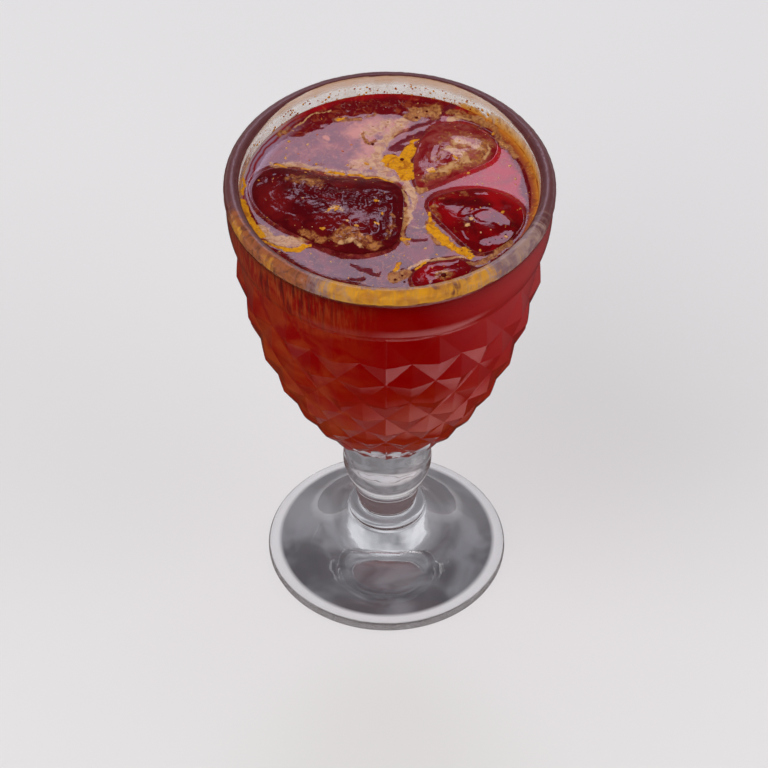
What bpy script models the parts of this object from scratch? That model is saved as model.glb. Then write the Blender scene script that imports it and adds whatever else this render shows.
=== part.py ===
"""Pressed-glass goblet filled with iced orange and berry juice.

Units are metres, +Z is up, the foot stands on Z = 0 and the front looks towards -Y.
The glass is one closed solid of rings carried round from under the foot, up the outside,
over the lip and down the inside. The bowl's outside is a lattice of four-sided diamond points.
"""

import math

import bpy
import numpy as np

# Rings round the axis: the diamonds' columns, and twice as many where the glass is widest
DIAMONDS_ROUND = 18
COLUMNS = 2 * DIAMONDS_ROUND
FINE_COLUMNS = 2 * COLUMNS
LATTICE_TURN = math.radians(-0.9)

# Lip and smooth collar
RIM_HEIGHT = 0.1403
RIM_RADIUS = 0.0436
LIP_THICKNESS = 0.0039
LIP_DEPTH = 0.0042
LIP_STEP = 0.0004
LIP_ARC_RINGS = 7
COLLAR_BOTTOM = 0.1205
COLLAR_RINGS = 4
COLLAR_CURVE = 2.2

# Diamond lattice, from the collar down to the knop
LATTICE_RADIUS = 0.0404
LATTICE_DEPTH = 0.0765
LATTICE_BULGE = 1.57
LATTICE_ROUNDNESS = 1.97
LATTICE_ROWS = 10
ROW_HEIGHT = 0.0094
ROW_SHRINK = 0.54
POINT_RISE = 0.20
PROFILE_STEP = 0.0002
SLOPE_STEP = 0.0005

# Inside of the bowl
BOWL_FLOOR = 0.0535
INNER_WAIST_RADIUS = 0.0374
INNER_BULGE = 1.7
INNER_ROUNDNESS = 2.0
INNER_RINGS = 11

# Knop, stem and foot: (radius, height) of the points that their smooth outline passes
STEM_OUTLINE = (
    (0.0106, 0.0462),
    (0.0112, 0.0438),
    (0.0121, 0.0380),
    (0.0116, 0.0320),
    (0.0093, 0.0270),
    (0.0077, 0.0226),
    (0.0086, 0.0208),
    (0.0101, 0.0192),
    (0.0104, 0.0176),
)
STEM_RINGS = 18
FOOT_RADIUS = 0.0330
FOOT_EDGE_HEIGHT = 0.0034
FOOT_TOP_HEIGHT = 0.0166
FOOT_TOP_RADIUS = 0.0112
FOOT_FALL = 1.75
FOOT_RINGS = 6
FINE_FOOT_SHARE = 0.6
FOOT_EDGE_RINGS = 4
REST_RING_INNER_RADIUS = 0.0250
RECESS_HEIGHT = 0.0016
RECESS_RINGS = 3

# Juice
GAP = 0.0003
JUICE_LEVEL = 0.1340
MENISCUS_RISE = 0.0007
MENISCUS_WIDTH = 0.0022
JUICE_SIDE_RINGS = 10
JUICE_CORE_RADII = (0.005, 0.010, 0.015, 0.020)
JUICE_OUTER_RADII = (0.0238, 0.0274, 0.0308, 0.0340, 0.0366, 0.0382)

FOAM_EDGE = 1.6

# Foam rafts on the juice: x, y, half length, half width, turn in degrees, rise
FOAM_RAFTS = (
    (-0.007, 0.0085, 0.0110, 0.0022, -12, 0.0006),
    (0.0028, 0.0128, 0.0062, 0.0038, 80, 0.0009),
    (0.0066, -0.0015, 0.0050, 0.0022, 70, 0.0007),
    (0.0125, -0.0150, 0.0090, 0.0026, -58, 0.0008),
    (0.0030, -0.0300, 0.0044, 0.0036, 20, 0.0009),
    (-0.0325, -0.0140, 0.0110, 0.0030, -55, 0.0008),
    (0.0225, 0.0080, 0.0080, 0.0018, 25, 0.0006),
)

# Ice: outline at the juice's level, clockwise from above, height over the juice, depth, and tilt
ICE = {
    "ice_left": {
        "outline": (
            (-0.0368, 0.0040),
            (-0.0300, 0.0108),
            (-0.0150, 0.0072),
            (0.0012, 0.0048),
            (0.0036, -0.0060),
            (0.0010, -0.0185),
            (-0.0100, -0.0218),
            (-0.0225, -0.0160),
            (-0.0340, -0.0062),
        ),
        "rise": 0.0018,
        "depth": 0.0150,
        "tilt": (0.010, -0.006),
    },
    "ice_upper_right": {
        "outline": (
            (0.0066, 0.0070),
            (0.0070, 0.0180),
            (0.0120, 0.0270),
            (0.0205, 0.0280),
            (0.0280, 0.0220),
            (0.0270, 0.0145),
            (0.0180, 0.0088),
            (0.0090, 0.0036),
        ),
        "rise": 0.0017,
        "depth": 0.0130,
        "tilt": (-0.014, 0.010),
    },
    "ice_right": {
        "outline": (
            (0.0102, -0.0030),
            (0.0150, 0.0014),
            (0.0250, 0.0030),
            (0.0335, -0.0024),
            (0.0348, -0.0105),
            (0.0290, -0.0188),
            (0.0225, -0.0206),
            (0.0150, -0.0115),
        ),
        "rise": 0.0018,
        "depth": 0.0140,
        "tilt": (0.012, 0.008),
    },
    "ice_front": {
        "outline": (
            (0.0060, -0.0300),
            (0.0110, -0.0252),
            (0.0185, -0.0240),
            (0.0212, -0.0282),
            (0.0150, -0.0335),
            (0.0080, -0.0352),
        ),
        "rise": 0.0013,
        "depth": 0.0100,
        "tilt": (-0.008, 0.012),
    },
}
ICE_OUTLINE_STEPS = 28
ICE_LEVELS = 9
ICE_EDGE_POWER = 0.38
ICE_SIDE_POWER = 0.75
ICE_BUMP = 0.00022
ICE_BUMP_TURNS_X = 900
ICE_BUMP_TURNS_Y = 700

# Finishes: linear colour, roughness, share of light let through and index of refraction
GLASS_FINISH = ((0.86, 0.88, 0.90), 0.03, 1.0, 1.50)
JUICE_FINISH = ((0.24, 0.012, 0.010), 0.05, 0.2, 1.34)
ICE_FINISH = ((0.30, 0.030, 0.030), 0.08, 0.6, 1.31)
FACET_ANGLE = 8
JUICE_EDGE_ANGLE = 40
ICE_EDGE_ANGLE = 50


def clear_scene():
    for obj in list(bpy.data.objects):
        bpy.data.objects.remove(obj)


def make_material(name, colour, roughness, transmission, ior):
    material = bpy.data.materials.new(name)
    material.use_nodes = True
    shader = material.node_tree.nodes["Principled BSDF"]
    shader.inputs["Base Color"].default_value = (*colour, 1.0)
    shader.inputs["Roughness"].default_value = roughness
    shader.inputs["Metallic"].default_value = 0.0
    shader.inputs["Transmission Weight"].default_value = transmission
    shader.inputs["IOR"].default_value = ior
    return material


def smooth_curve(points, count, closed):
    """A Catmull-Rom curve through the points, read at evenly spaced parameters."""
    points = np.array(points, float)
    spans = len(points) if closed else len(points) - 1
    if closed:
        padded = np.vstack([points[-1:], points, points[:2]])
    else:
        first = 2 * points[:1] - points[1:2]
        last = 2 * points[-1:] - points[-2:-1]
        padded = np.vstack([first, points, last])
    place = np.linspace(0, spans, count, endpoint=not closed)
    span = np.minimum(place.astype(int), spans - 1)
    t = (place - span)[:, None]
    a, b, c, d = (padded[span + k] for k in range(4))
    return 0.5 * (
        2 * b + (c - a) * t + (2 * a - 5 * b + 4 * c - d) * t**2 + (3 * b - a - 3 * c + d) * t**3
    )


def ring(radius, height, columns, turn=0.0):
    """Points round the axis, anticlockwise from the front."""
    angle = 2 * math.pi * np.arange(columns) / columns + turn
    radius = np.broadcast_to(radius, columns)
    height = np.broadcast_to(height, columns)
    return np.stack([radius * np.sin(angle), -radius * np.cos(angle), height], axis=1)


def collar_radius(height):
    """The smooth band under the lip: nearly upright at its top, drawn in towards the diamonds."""
    span = RIM_HEIGHT - LIP_DEPTH - COLLAR_BOTTOM
    fall = np.clip((RIM_HEIGHT - LIP_DEPTH - height) / span, 0, 1)
    top = RIM_RADIUS - LIP_STEP
    return top - (top - LATTICE_RADIUS) * fall**COLLAR_CURVE


def valley_radius(height):
    """The egg-shaped surface on which the diamonds' corners lie."""
    fall = (COLLAR_BOTTOM - height) / LATTICE_DEPTH
    return LATTICE_RADIUS * (1 - fall**LATTICE_BULGE) ** (1 / LATTICE_ROUNDNESS)


def inner_radius(height):
    """The bowl's smooth inside: a straight flare at the collar over an egg-shaped cup."""
    inner_rim = RIM_RADIUS - LIP_THICKNESS
    rim_start = RIM_HEIGHT - LIP_THICKNESS / 2
    flare = (height - COLLAR_BOTTOM) / (rim_start - COLLAR_BOTTOM)
    cone = INNER_WAIST_RADIUS + (inner_rim - INNER_WAIST_RADIUS) * flare
    fall = np.clip((COLLAR_BOTTOM - height) / (COLLAR_BOTTOM - BOWL_FLOOR), 0, 1)
    cup = INNER_WAIST_RADIUS * (1 - fall**INNER_BULGE) ** (1 / INNER_ROUNDNESS)
    return np.where(height >= COLLAR_BOTTOM, cone, cup)


def lattice_heights():
    """Heights of the diamonds' half rows, top down: they shrink with the bowl's radius."""
    heights = [COLLAR_BOTTOM]
    for _ in range(LATTICE_ROWS):
        height = heights[-1]
        travelled = 0.0
        wanted = ROW_HEIGHT
        while travelled < wanted:
            radius = valley_radius(height)
            height -= PROFILE_STEP
            below = valley_radius(height)
            travelled += math.hypot(PROFILE_STEP, radius - below)
            wanted = ROW_HEIGHT * (below / LATTICE_RADIUS) ** ROW_SHRINK
        heights.append(height)
    return heights


def lattice_rings():
    """One ring for each half row, top down. Every second point rises to a diamond's tip."""
    column = np.arange(COLUMNS)
    rings = [ring(LATTICE_RADIUS, COLLAR_BOTTOM, COLUMNS, LATTICE_TURN)]
    for row, height in enumerate(lattice_heights()[1:], start=1):
        radius = valley_radius(height)
        slope = (radius - valley_radius(height - SLOPE_STEP)) / SLOPE_STEP
        rise = POINT_RISE * radius * math.pi / DIAMONDS_ROUND
        out = np.where((column + row) % 2 == 1, rise / math.hypot(1, slope), 0)
        rings.append(ring(radius + out, height - out * slope, COLUMNS, LATTICE_TURN))
    return rings


def lip_rings():
    """The bead's small step out of the collar, its upright outside and its half-round top."""
    half = LIP_THICKNESS / 2
    centre_radius = RIM_RADIUS - half
    centre_height = RIM_HEIGHT - half
    rings = [
        ring(RIM_RADIUS - LIP_STEP, RIM_HEIGHT - LIP_DEPTH, FINE_COLUMNS),
        ring(RIM_RADIUS, RIM_HEIGHT - LIP_DEPTH + LIP_STEP, FINE_COLUMNS),
    ]
    for angle in np.linspace(0, math.pi, LIP_ARC_RINGS):
        radius = centre_radius + half * math.cos(angle)
        rings.append(ring(radius, centre_height + half * math.sin(angle), FINE_COLUMNS))
    return rings


def foot_rings():
    """From the recess under the foot, over the flat rest ring and the round edge, up to the stem."""
    rings = []
    for part in np.linspace(0, 1, RECESS_RINGS + 1)[1:]:
        height = RECESS_HEIGHT * (1 - part**2)
        rings.append(ring(REST_RING_INNER_RADIUS * part, height, COLUMNS))
    half = FOOT_EDGE_HEIGHT / 2
    for angle in np.linspace(-math.pi / 2, math.pi / 2, FOOT_EDGE_RINGS + 1):
        radius = FOOT_RADIUS - half + half * math.cos(angle)
        rings.append(ring(radius, half + half * math.sin(angle), FINE_COLUMNS))
    edge = FOOT_RADIUS - half
    for part in np.linspace(0, 1, FOOT_RINGS + 1)[1:]:
        radius = edge + (FOOT_TOP_RADIUS - edge) * part
        climb = (FOOT_TOP_HEIGHT - FOOT_EDGE_HEIGHT) * part**FOOT_FALL
        columns = FINE_COLUMNS if part < FINE_FOOT_SHARE else COLUMNS
        rings.append(ring(radius, FOOT_EDGE_HEIGHT + climb, columns))
    return rings


def stem_rings():
    outline = smooth_curve(STEM_OUTLINE[::-1], STEM_RINGS, closed=False)
    return [ring(radius, height, COLUMNS) for radius, height in outline]


def inner_rings():
    """The bowl's inside, top down to just above its floor."""
    span = RIM_HEIGHT - LIP_THICKNESS / 2 - BOWL_FLOOR
    fall = np.sin(np.linspace(0, math.pi / 2, INNER_RINGS + 2)[1:-1])
    heights = BOWL_FLOOR + span * (1 - fall)
    return [ring(float(inner_radius(height)), height, COLUMNS) for height in heights]


def bridge(lower, upper, tip_parity=None):
    """Faces between two rings of point numbers, where one may have twice the other's points."""
    faces = []
    count = min(len(lower), len(upper))
    for i in range(count):
        j = (i + 1) % count
        if len(lower) < len(upper):
            first, middle, last = upper[2 * i], upper[2 * i + 1], upper[2 * j]
            faces.append((lower[i], middle, first))
            faces.append((lower[i], lower[j], middle))
            faces.append((lower[j], last, middle))
        elif len(lower) > len(upper):
            first, middle, last = lower[2 * i], lower[2 * i + 1], lower[2 * j]
            faces.append((first, middle, upper[i]))
            faces.append((middle, upper[j], upper[i]))
            faces.append((middle, last, upper[j]))
        elif tip_parity is None:
            faces.append((lower[i], lower[j], upper[j], upper[i]))
        elif (i + tip_parity) % 2 == 0:
            faces.append((lower[i], lower[j], upper[j]))
            faces.append((lower[i], upper[j], upper[i]))
        else:
            faces.append((lower[i], lower[j], upper[i]))
            faces.append((lower[j], upper[j], upper[i]))
    return faces


def make_object(name, start, rings, end, material, valley_rows=()):
    """A closed solid: a point, rings carried along, and a point. valley_rows maps rings to parity."""
    valley_rows = dict(valley_rows)
    points = np.vstack([[start], *rings, [end]])
    numbers = []
    first = 1
    for one in rings:
        numbers.append(np.arange(first, first + len(one)).tolist())
        first += len(one)
    faces = []
    for i, point in enumerate(numbers[0]):
        faces.append((0, numbers[0][(i + 1) % len(numbers[0])], point))
    for row in range(len(rings) - 1):
        faces += bridge(numbers[row], numbers[row + 1], valley_rows.get(row))
    for i, point in enumerate(numbers[-1]):
        faces.append((point, numbers[-1][(i + 1) % len(numbers[-1])], first))
    mesh = bpy.data.meshes.new(name)
    mesh.from_pydata(points.tolist(), [], faces)
    mesh.materials.append(material)
    obj = bpy.data.objects.new(name, mesh)
    bpy.context.scene.collection.objects.link(obj)
    return obj


def make_goblet(material):
    foot = foot_rings()
    stem = stem_rings()
    lattice = lattice_rings()[::-1]
    collar_heights = np.linspace(COLLAR_BOTTOM, RIM_HEIGHT - LIP_DEPTH, COLLAR_RINGS + 2)[1:-1]
    collar = [ring(float(collar_radius(h)), h, FINE_COLUMNS) for h in collar_heights]
    rings = foot + stem + lattice + collar + lip_rings() + inner_rings()
    first_row = len(foot) + len(stem)
    valley_rows = {}
    for index in range(len(lattice) - 1):
        row_below = len(lattice) - 1 - index
        valley_rows[first_row + index] = row_below % 2
    return make_object(
        "goblet", (0, 0, RECESS_HEIGHT), rings, (0, 0, BOWL_FLOOR), material, valley_rows
    )


def foam_rise(x, y):
    """Height of the foam over the juice: a soft-edged raft for each row of FOAM_RAFTS."""
    total = np.zeros_like(x)
    for centre_x, centre_y, half_length, half_width, turn, rise in FOAM_RAFTS:
        angle = math.radians(turn)
        along = (x - centre_x) * math.cos(angle) + (y - centre_y) * math.sin(angle)
        across = (y - centre_y) * math.cos(angle) - (x - centre_x) * math.sin(angle)
        reach = (along / half_length) ** 2 + (across / half_width) ** 2
        total = np.maximum(total, rise * np.clip(FOAM_EDGE - reach, 0, 1))
    return total


def juice_top(points):
    """The surface: level, lifted by foam, and drawn up a little where it wets the glass."""
    radius = np.hypot(points[:, 0], points[:, 1])
    edge = float(inner_radius(JUICE_LEVEL)) - GAP
    wet = np.clip(1 - (edge - radius) / MENISCUS_WIDTH, 0, 1)
    lifted = points.copy()
    foam = foam_rise(points[:, 0], points[:, 1]) * (1 - wet)
    lifted[:, 2] = JUICE_LEVEL + MENISCUS_RISE * wet**2 + foam
    return lifted


def make_juice(material):
    top = JUICE_LEVEL + MENISCUS_RISE
    fall = np.sin(np.linspace(0, math.pi / 2, JUICE_SIDE_RINGS + 2)[1:-1])
    heights = BOWL_FLOOR + GAP + (top - BOWL_FLOOR - GAP) * (1 - fall[::-1])
    rings = [ring(float(inner_radius(h - GAP)) - GAP, h, COLUMNS) for h in heights]
    rings.append(ring(float(inner_radius(top)) - GAP, top, FINE_COLUMNS))
    for radius in JUICE_OUTER_RADII[::-1]:
        rings.append(juice_top(ring(radius, top, FINE_COLUMNS)))
    for radius in JUICE_CORE_RADII[::-1]:
        rings.append(juice_top(ring(radius, top, COLUMNS)))
    return make_object("juice", (0, 0, BOWL_FLOOR + GAP), rings, (0, 0, JUICE_LEVEL), material)


def make_ice(name, shape, grow, material):
    """A round-edged slab, widest at the juice's level. grow makes the larger cutter of its pocket."""
    outline = smooth_curve(shape["outline"][::-1], ICE_OUTLINE_STEPS, closed=True)
    centre = outline.mean(axis=0)
    tangent = np.roll(outline, -1, axis=0) - np.roll(outline, 1, axis=0)
    normal = np.stack([tangent[:, 1], -tangent[:, 0]], axis=1)
    normal /= np.linalg.norm(normal, axis=1)[:, None]
    tilt_x, tilt_y = shape["tilt"]
    rings = []
    for angle in np.linspace(-math.pi / 2, math.pi / 2, ICE_LEVELS + 2)[1:-1]:
        share = math.cos(angle) ** ICE_EDGE_POWER
        reach = (shape["rise"] if angle > 0 else shape["depth"]) + grow
        climb = math.copysign(reach * abs(math.sin(angle)) ** ICE_SIDE_POWER, angle)
        flat = centre + (outline - centre) * share + normal * grow * share
        lean = tilt_x * (flat[:, 0] - centre[0]) + tilt_y * (flat[:, 1] - centre[1])
        wave = np.sin(ICE_BUMP_TURNS_X * flat[:, 0] + angle) * np.cos(ICE_BUMP_TURNS_Y * flat[:, 1])
        height = JUICE_LEVEL + climb + lean + ICE_BUMP * wave
        rings.append(np.column_stack([flat, height]))
    bottom = (*centre, JUICE_LEVEL - shape["depth"] - grow)
    top = (*centre, JUICE_LEVEL + shape["rise"] + grow)
    return make_object(name, bottom, rings, top, material)


def cut_pocket(juice, cutter):
    cutter.hide_render = True
    cutter.display_type = "WIRE"
    cut = juice.modifiers.new(cutter.name, "BOOLEAN")
    cut.operation = "DIFFERENCE"
    cut.solver = "EXACT"
    cut.object = cutter


def shade(obj, sharp_angle):
    obj.data.shade_smooth()
    obj.data.set_sharp_from_angle(angle=math.radians(sharp_angle))


def main():
    clear_scene()
    glass = make_material("pressed glass", *GLASS_FINISH)
    drink = make_material("orange and berry juice", *JUICE_FINISH)
    frozen = make_material("ice stained by juice", *ICE_FINISH)
    shade(make_goblet(glass), FACET_ANGLE)
    juice = make_juice(drink)
    shade(juice, JUICE_EDGE_ANGLE)
    for name, shape in ICE.items():
        shade(make_ice(name, shape, 0.0, frozen), ICE_EDGE_ANGLE)
        cut_pocket(juice, make_ice(name + "_pocket", shape, GAP, drink))


main()
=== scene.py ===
"""Looks of an iced orange and berry juice in its pressed-glass goblet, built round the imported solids.

Units are metres, +Z is up, the foot stands on Z = 0 and the front looks towards -Y. Angles round
the glass start at the front and grow towards +X. Every new piece is a surface worked out with numpy.
"""

import itertools
import math

import bpy
import numpy as np
from bpy.props import FloatProperty, FloatVectorProperty, PointerProperty
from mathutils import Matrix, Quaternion, Vector


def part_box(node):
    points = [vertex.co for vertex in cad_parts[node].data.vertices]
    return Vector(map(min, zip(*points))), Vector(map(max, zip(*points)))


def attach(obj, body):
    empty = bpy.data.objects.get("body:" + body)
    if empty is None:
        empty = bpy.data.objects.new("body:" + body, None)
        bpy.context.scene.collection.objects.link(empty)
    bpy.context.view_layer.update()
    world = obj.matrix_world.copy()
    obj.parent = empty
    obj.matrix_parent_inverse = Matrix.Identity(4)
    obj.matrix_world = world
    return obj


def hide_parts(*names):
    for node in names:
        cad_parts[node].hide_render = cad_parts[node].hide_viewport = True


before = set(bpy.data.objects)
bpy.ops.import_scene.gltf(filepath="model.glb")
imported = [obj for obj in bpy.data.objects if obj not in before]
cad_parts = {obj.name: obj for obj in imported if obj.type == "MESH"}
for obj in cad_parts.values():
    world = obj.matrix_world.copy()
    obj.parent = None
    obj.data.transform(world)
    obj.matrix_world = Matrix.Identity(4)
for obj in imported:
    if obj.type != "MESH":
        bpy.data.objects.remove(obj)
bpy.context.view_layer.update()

bl_info = {
    "name": "Iced juice goblet",
    "version": (1, 0, 0),
    "blender": (4, 5, 0),
    "location": "View3D > Sidebar > Juice",
    "description": "Dresses the packed goblet of juice with glass, drink, foam, ice and droplets",
    "category": "Object",
}

GOBLET_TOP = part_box("goblet")[1]

# Rings round the axis: the diamonds' columns, how finely each is cut, and the mould's seams
DIAMONDS_ROUND = 18
COLUMNS = 2 * DIAMONDS_ROUND
STEPS_PER_COLUMN = 10
LATTICE_TURN = math.radians(-0.9)
SEAM_COLUMNS = (0, DIAMONDS_ROUND)
SEAM_STEPS = (0.025, 0.05)

# Lip and smooth collar
LIP_DEPTH = 0.0042
LIP_STEP = 0.0004
COLLAR_BOTTOM = 0.1205
COLLAR_CURVE = 3.4

# Diamond lattice, from the collar down to the knop
LATTICE_RADIUS = 0.0404
LATTICE_DEPTH = 0.0765
LATTICE_BULGE = 1.57
LATTICE_ROUNDNESS = 1.97
LATTICE_ROWS = 10
ROW_HEIGHT = 0.0094
ROW_SHRINK = 0.54
PROFILE_STEP = 0.0002
SLOPE_STEP = 0.0005

# Inside of the bowl
BOWL_FLOOR = 0.0560
INNER_WAIST_RADIUS = 0.0374
INNER_BULGE = 1.7

# Knop, stem and foot: (radius, height) of the points that their smooth outline passes
STEM_OUTLINE = (
    (0.0105, 0.0174), (0.0106, 0.0185), (0.0098, 0.0194), (0.0086, 0.0199), (0.0079, 0.0206),
    (0.0081, 0.0218), (0.0086, 0.0238), (0.0088, 0.0264), (0.0093, 0.0288), (0.0109, 0.0314),
    (0.012, 0.0348), (0.0121, 0.0388), (0.0113, 0.0438), (0.0106, 0.0462),
)
FOOT_RADIUS = 0.0330
FOOT_EDGE_HEIGHT = 0.0034
FOOT_TOP_HEIGHT = 0.0166
FOOT_TOP_RADIUS = 0.0112
FOOT_FALL = 1.75
REST_RING_INNER_RADIUS = 0.0250
RECESS_HEIGHT = 0.0016

# Rings of points along each stretch of the goblet's outline
RECESS_RINGS = 7
EDGE_RINGS = 13
FOOT_RINGS = 21
STEM_RINGS = 50
COLLAR_RINGS = 13
BEAD_RINGS = 17
INSIDE_RINGS = 40

# Juice: its level, how far its skin reaches into the glass, cells along a side of its grid, and rings
JUICE_LEVEL = 0.1340
INTO_WALL = 0.00015
TOP_CELLS = 276
JUICE_SIDE_RINGS = 14

# Ice: outline at the juice's level, clockwise from above, height over the juice, depth, and tilt
ICE = {
    "ice_left": {
        "outline": (
            (-0.0368, 0.004), (-0.03, 0.0108), (-0.015, 0.0072), (0.0012, 0.0048), (0.0036, -0.006),
            (0.001, -0.0185), (-0.01, -0.0218), (-0.0225, -0.016), (-0.034, -0.0062),
        ),
        "rise": 0.0026,
        "depth": 0.015,
        "tilt": (0.01, -0.006),
    },
    "ice_upper_right": {
        "outline": (
            (0.0066, 0.007), (0.007, 0.018), (0.012, 0.027), (0.0205, 0.028), (0.028, 0.022),
            (0.027, 0.0145), (0.018, 0.0088), (0.009, 0.0036),
        ),
        "rise": 0.0017,
        "depth": 0.013,
        "tilt": (-0.014, 0.01),
    },
    "ice_right": {
        "outline": (
            (0.0102, -0.003), (0.015, 0.0014), (0.025, 0.003), (0.0335, -0.0024), (0.0348, -0.0105),
            (0.029, -0.0188), (0.0225, -0.0206), (0.015, -0.0115),
        ),
        "rise": 0.0018,
        "depth": 0.014,
        "tilt": (0.012, 0.008),
    },
    "ice_front": {
        "outline": (
            (0.006, -0.03), (0.011, -0.0252), (0.0185, -0.024), (0.0212, -0.0282), (0.015, -0.0335),
            (0.008, -0.0352),
        ),
        "rise": 0.0013,
        "depth": 0.01,
        "tilt": (-0.008, 0.012),
    },
}
ICE_OUTLINE_STEPS = 220
ICE_CENTRE_STEPS = 28
ICE_MENISCUS_STEPS = 60
ICE_TOP_RINGS = 70
ICE_SIDE_RINGS = 12
ICE_EDGE_POWER = 0.38
ICE_SIDE_POWER = 0.75
ICE_PEAK_POWER = 1.3
ICE_FALL_POWER = 0.75
ICE_EDGE_LIFT = 0.00048

MILLIMETRE = 0.001
POINTS_PER_STRETCH = 6

# Colours on the drink, as strokes in millimetres: half width, softness, strength, then x and y of each
# point that the stroke passes
STROKES = {
    "pink": (
        (3.4, 0.7, 0.9, -9, 25, -4, 27.6, 1.5, 28), (3.2, 0.7, 0.8, -6, 22, -5, 17, -8, 13.5),
        (0.9, 0.6, 1, -17.4, 22.9, -16.8, 22.7), (0.8, 0.6, 0.8, -9.8, 28, -9, 27.4),
        (4.5, 0.9, 0.35, -22, 19, -14, 20),
    ),
    "cream": (
        (1.5, 0.9, 0.7, -29.5, 12.2, -25, 12, -19.5, 10.8, -12.3, 9.6, -4.5, 8.8, 1, 6.8),
        (2.6, 0.7, 0.8, -8.6, 12.6, -3, 13.4, -1.4, 10),
        (1.5, 0.6, 0.9, 4.3, 30.2, 1, 25.6, -2.6, 18.4, -3.6, 14), (2.6, 0.7, 0.7, -5.6, 25, -1, 28.2),
        (0.9, 0.4, 1, 1, 7.4, 3.6, 6, 5.6, 2.6, 6.1, -2.5, 4.6, -8.1, 2.9, -13),
        (0.5, 0.4, 0.8, 3.9, 3, 4.3, -3.4, 2.6, -9.6),
        (1.7, 0.5, 1, -34.4, -12.4, -31.6, -15.2, -27.6, -17.2, -22.8, -17.9),
        (0.9, 0.6, 1, 15.6, 30.4, 18.6, 31, 22, 30.4, 24.6, 28.8),
        # A thin painted highlight along the arc of the band at the back, drawn as a cream stroke
        (0.25, 0.3, 1, -25.6, 26.7, -21.4, 30.6, -16.4, 33.7),
        (1.2, 0.6, 0.8, 7.7, 3, 10.6, 6.4, 14.4, 8.6),
        (0.6, 0.3, 1, 5.4, -27.4, 7.4, -25.4, 10.2, -24, 14.9, -22.9, 20.3, -22.5),
        (0.5, 0.4, 0.6, 5.8, -10.5, 8, -11.6, 9.8, -10.8),
    ),
    "tan": (
        (2.2, 0.5, 1, 5.6, 31.6, 8.4, 33.4, 11.6, 33.2),
        (1.2, 0.7, 0.8, 16.2, 33.4, 19.8, 32, 24, 29.4, 27.6, 26.2),
        (0.7, 0.9, 0.9, -14.4, 29.4, -11.2, 30.4, -8, 31), (0.5, 0.9, 0.8, -6.4, 31.6, -3.4, 32),
        (0.8, 0.8, 0.8, -29.4, 23.2, -26.8, 25.8), (1, 0.8, 0.9, 27.6, 24.8, 30.6, 20.8, 33.4, 15.6),
        (1.6, 0.5, 0.9, 8.4, 3, 10.6, 7.6, 14.4, 9.4, 17.6, 11.6),
        (2, 0.3, 1, 1.2, -30.6, 2.9, -29.4, 4, -29),
        (1.1, 0.5, 0.9, 20.4, -24.9, 24.3, -24.3, 28.4, -21, 31.4, -17.8),
        (0.6, 0.5, 0.8, -6.8, 24.6, -6.4, 22.8, -4.7, 20.9, -3.2, 21.6),
        (0.9, 0.6, 0.8, 4.9, -8.4, 3.4, -13, 4.4, -17.4),
        (0.9, 0.5, 0.9, 9.9, -9.6, 10.6, -13.2, 13.2, -16.6),
    ),
    "yellow": (
        (3, 0.25, 1, 0.8, 14, 3.2, 12.4), (1.9, 0.25, 1, 3, 10.2, 4.6, 8.4),
        (1.4, 0.3, 1, 4, 15.6, 5.4, 18.6), (0.6, 0.3, 1, 5.8, 19, 6.2, 21.4, 8.2, 22.5),
        (0.35, 0.6, 1, -30.4, 11.5, -27.5, 11.3), (0.3, 0.6, 1, -23.6, 10.9, -21.6, 10.4),
        (0.5, 0.5, 1, -16.4, 9.4, -12.6, 8.7), (0.4, 0.5, 1, -11, 8.4, -4.5, 7.7, 0.6, 6.2),
        (0.4, 0.6, 1, -38.2, 6.4, -38.9, 3, -38.9, 0.4),
        (1.1, 0.4, 1, -38.8, -2.4, -37.9, -6.4, -36, -10.8, -33.3, -15.2),
        (0.55, 0.4, 0.9, -32.4, -17.6, -28.6, -19.4, -24, -20, -21.6, -18.8),
        (0.9, 0.8, 0.8, 10.4, -6, 11, -9.4),
        (1.5, 0.7, 0.9, 11.2, -10.4, 12.6, -14.2, 15.4, -17.6, 18.6, -20.2),
        (0.8, 0.5, 1, 17.6, -20.2, 20.8, -22), (0.35, 0.4, 1, 3.4, -15.8, 5.4, -16.2),
        (0.45, 0.8, 0.9, -13.4, 30, -11.6, 30.6), (0.5, 0.4, 0.9, 1.6, -27.6, 2.6, -25.6),
        (0.4, 0.4, 0.8, 6.8, -26.6, 9.8, -25),
    ),
    "dark": (
        (0.34, 0.9, 1, -9.8, -25.6, -8.4, -26.3), (0.6, 0.9, 1, -8, -26.5, -6.6, -27.2, -5.2, -28.2),
        (0.38, 0.9, 1, -5.2, -28.4, -3.8, -28.9, -2.4, -28.8), (0.28, 0.9, 1, -10.2, -30.8, -8.4, -31),
        (0.42, 0.9, 1, -8, -30.9, -6, -31), (0.34, 0.9, 1, 5.4, -15.4, 7.4, -16.2),
        (0.4, 0.9, 1, 7.6, -15.9, 9.6, -15.8), (1, 0.5, 1, 12.4, 30.6, 13.9, 34, 17.4, 35.4),
        (0.45, 0.5, 1, 13.1, 32.1, 9.7, 29.2, 5.9, 27.9, 2.8, 26.2, 0.5, 23.7),
        (0.55, 0.5, 1, 8.2, 25, 5.4, 24.2, 3.4, 22.1, 1.1, 20), (0.9, 0.5, 0.9, 0.6, 19, 3, 19.4),
    ),
}

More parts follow.
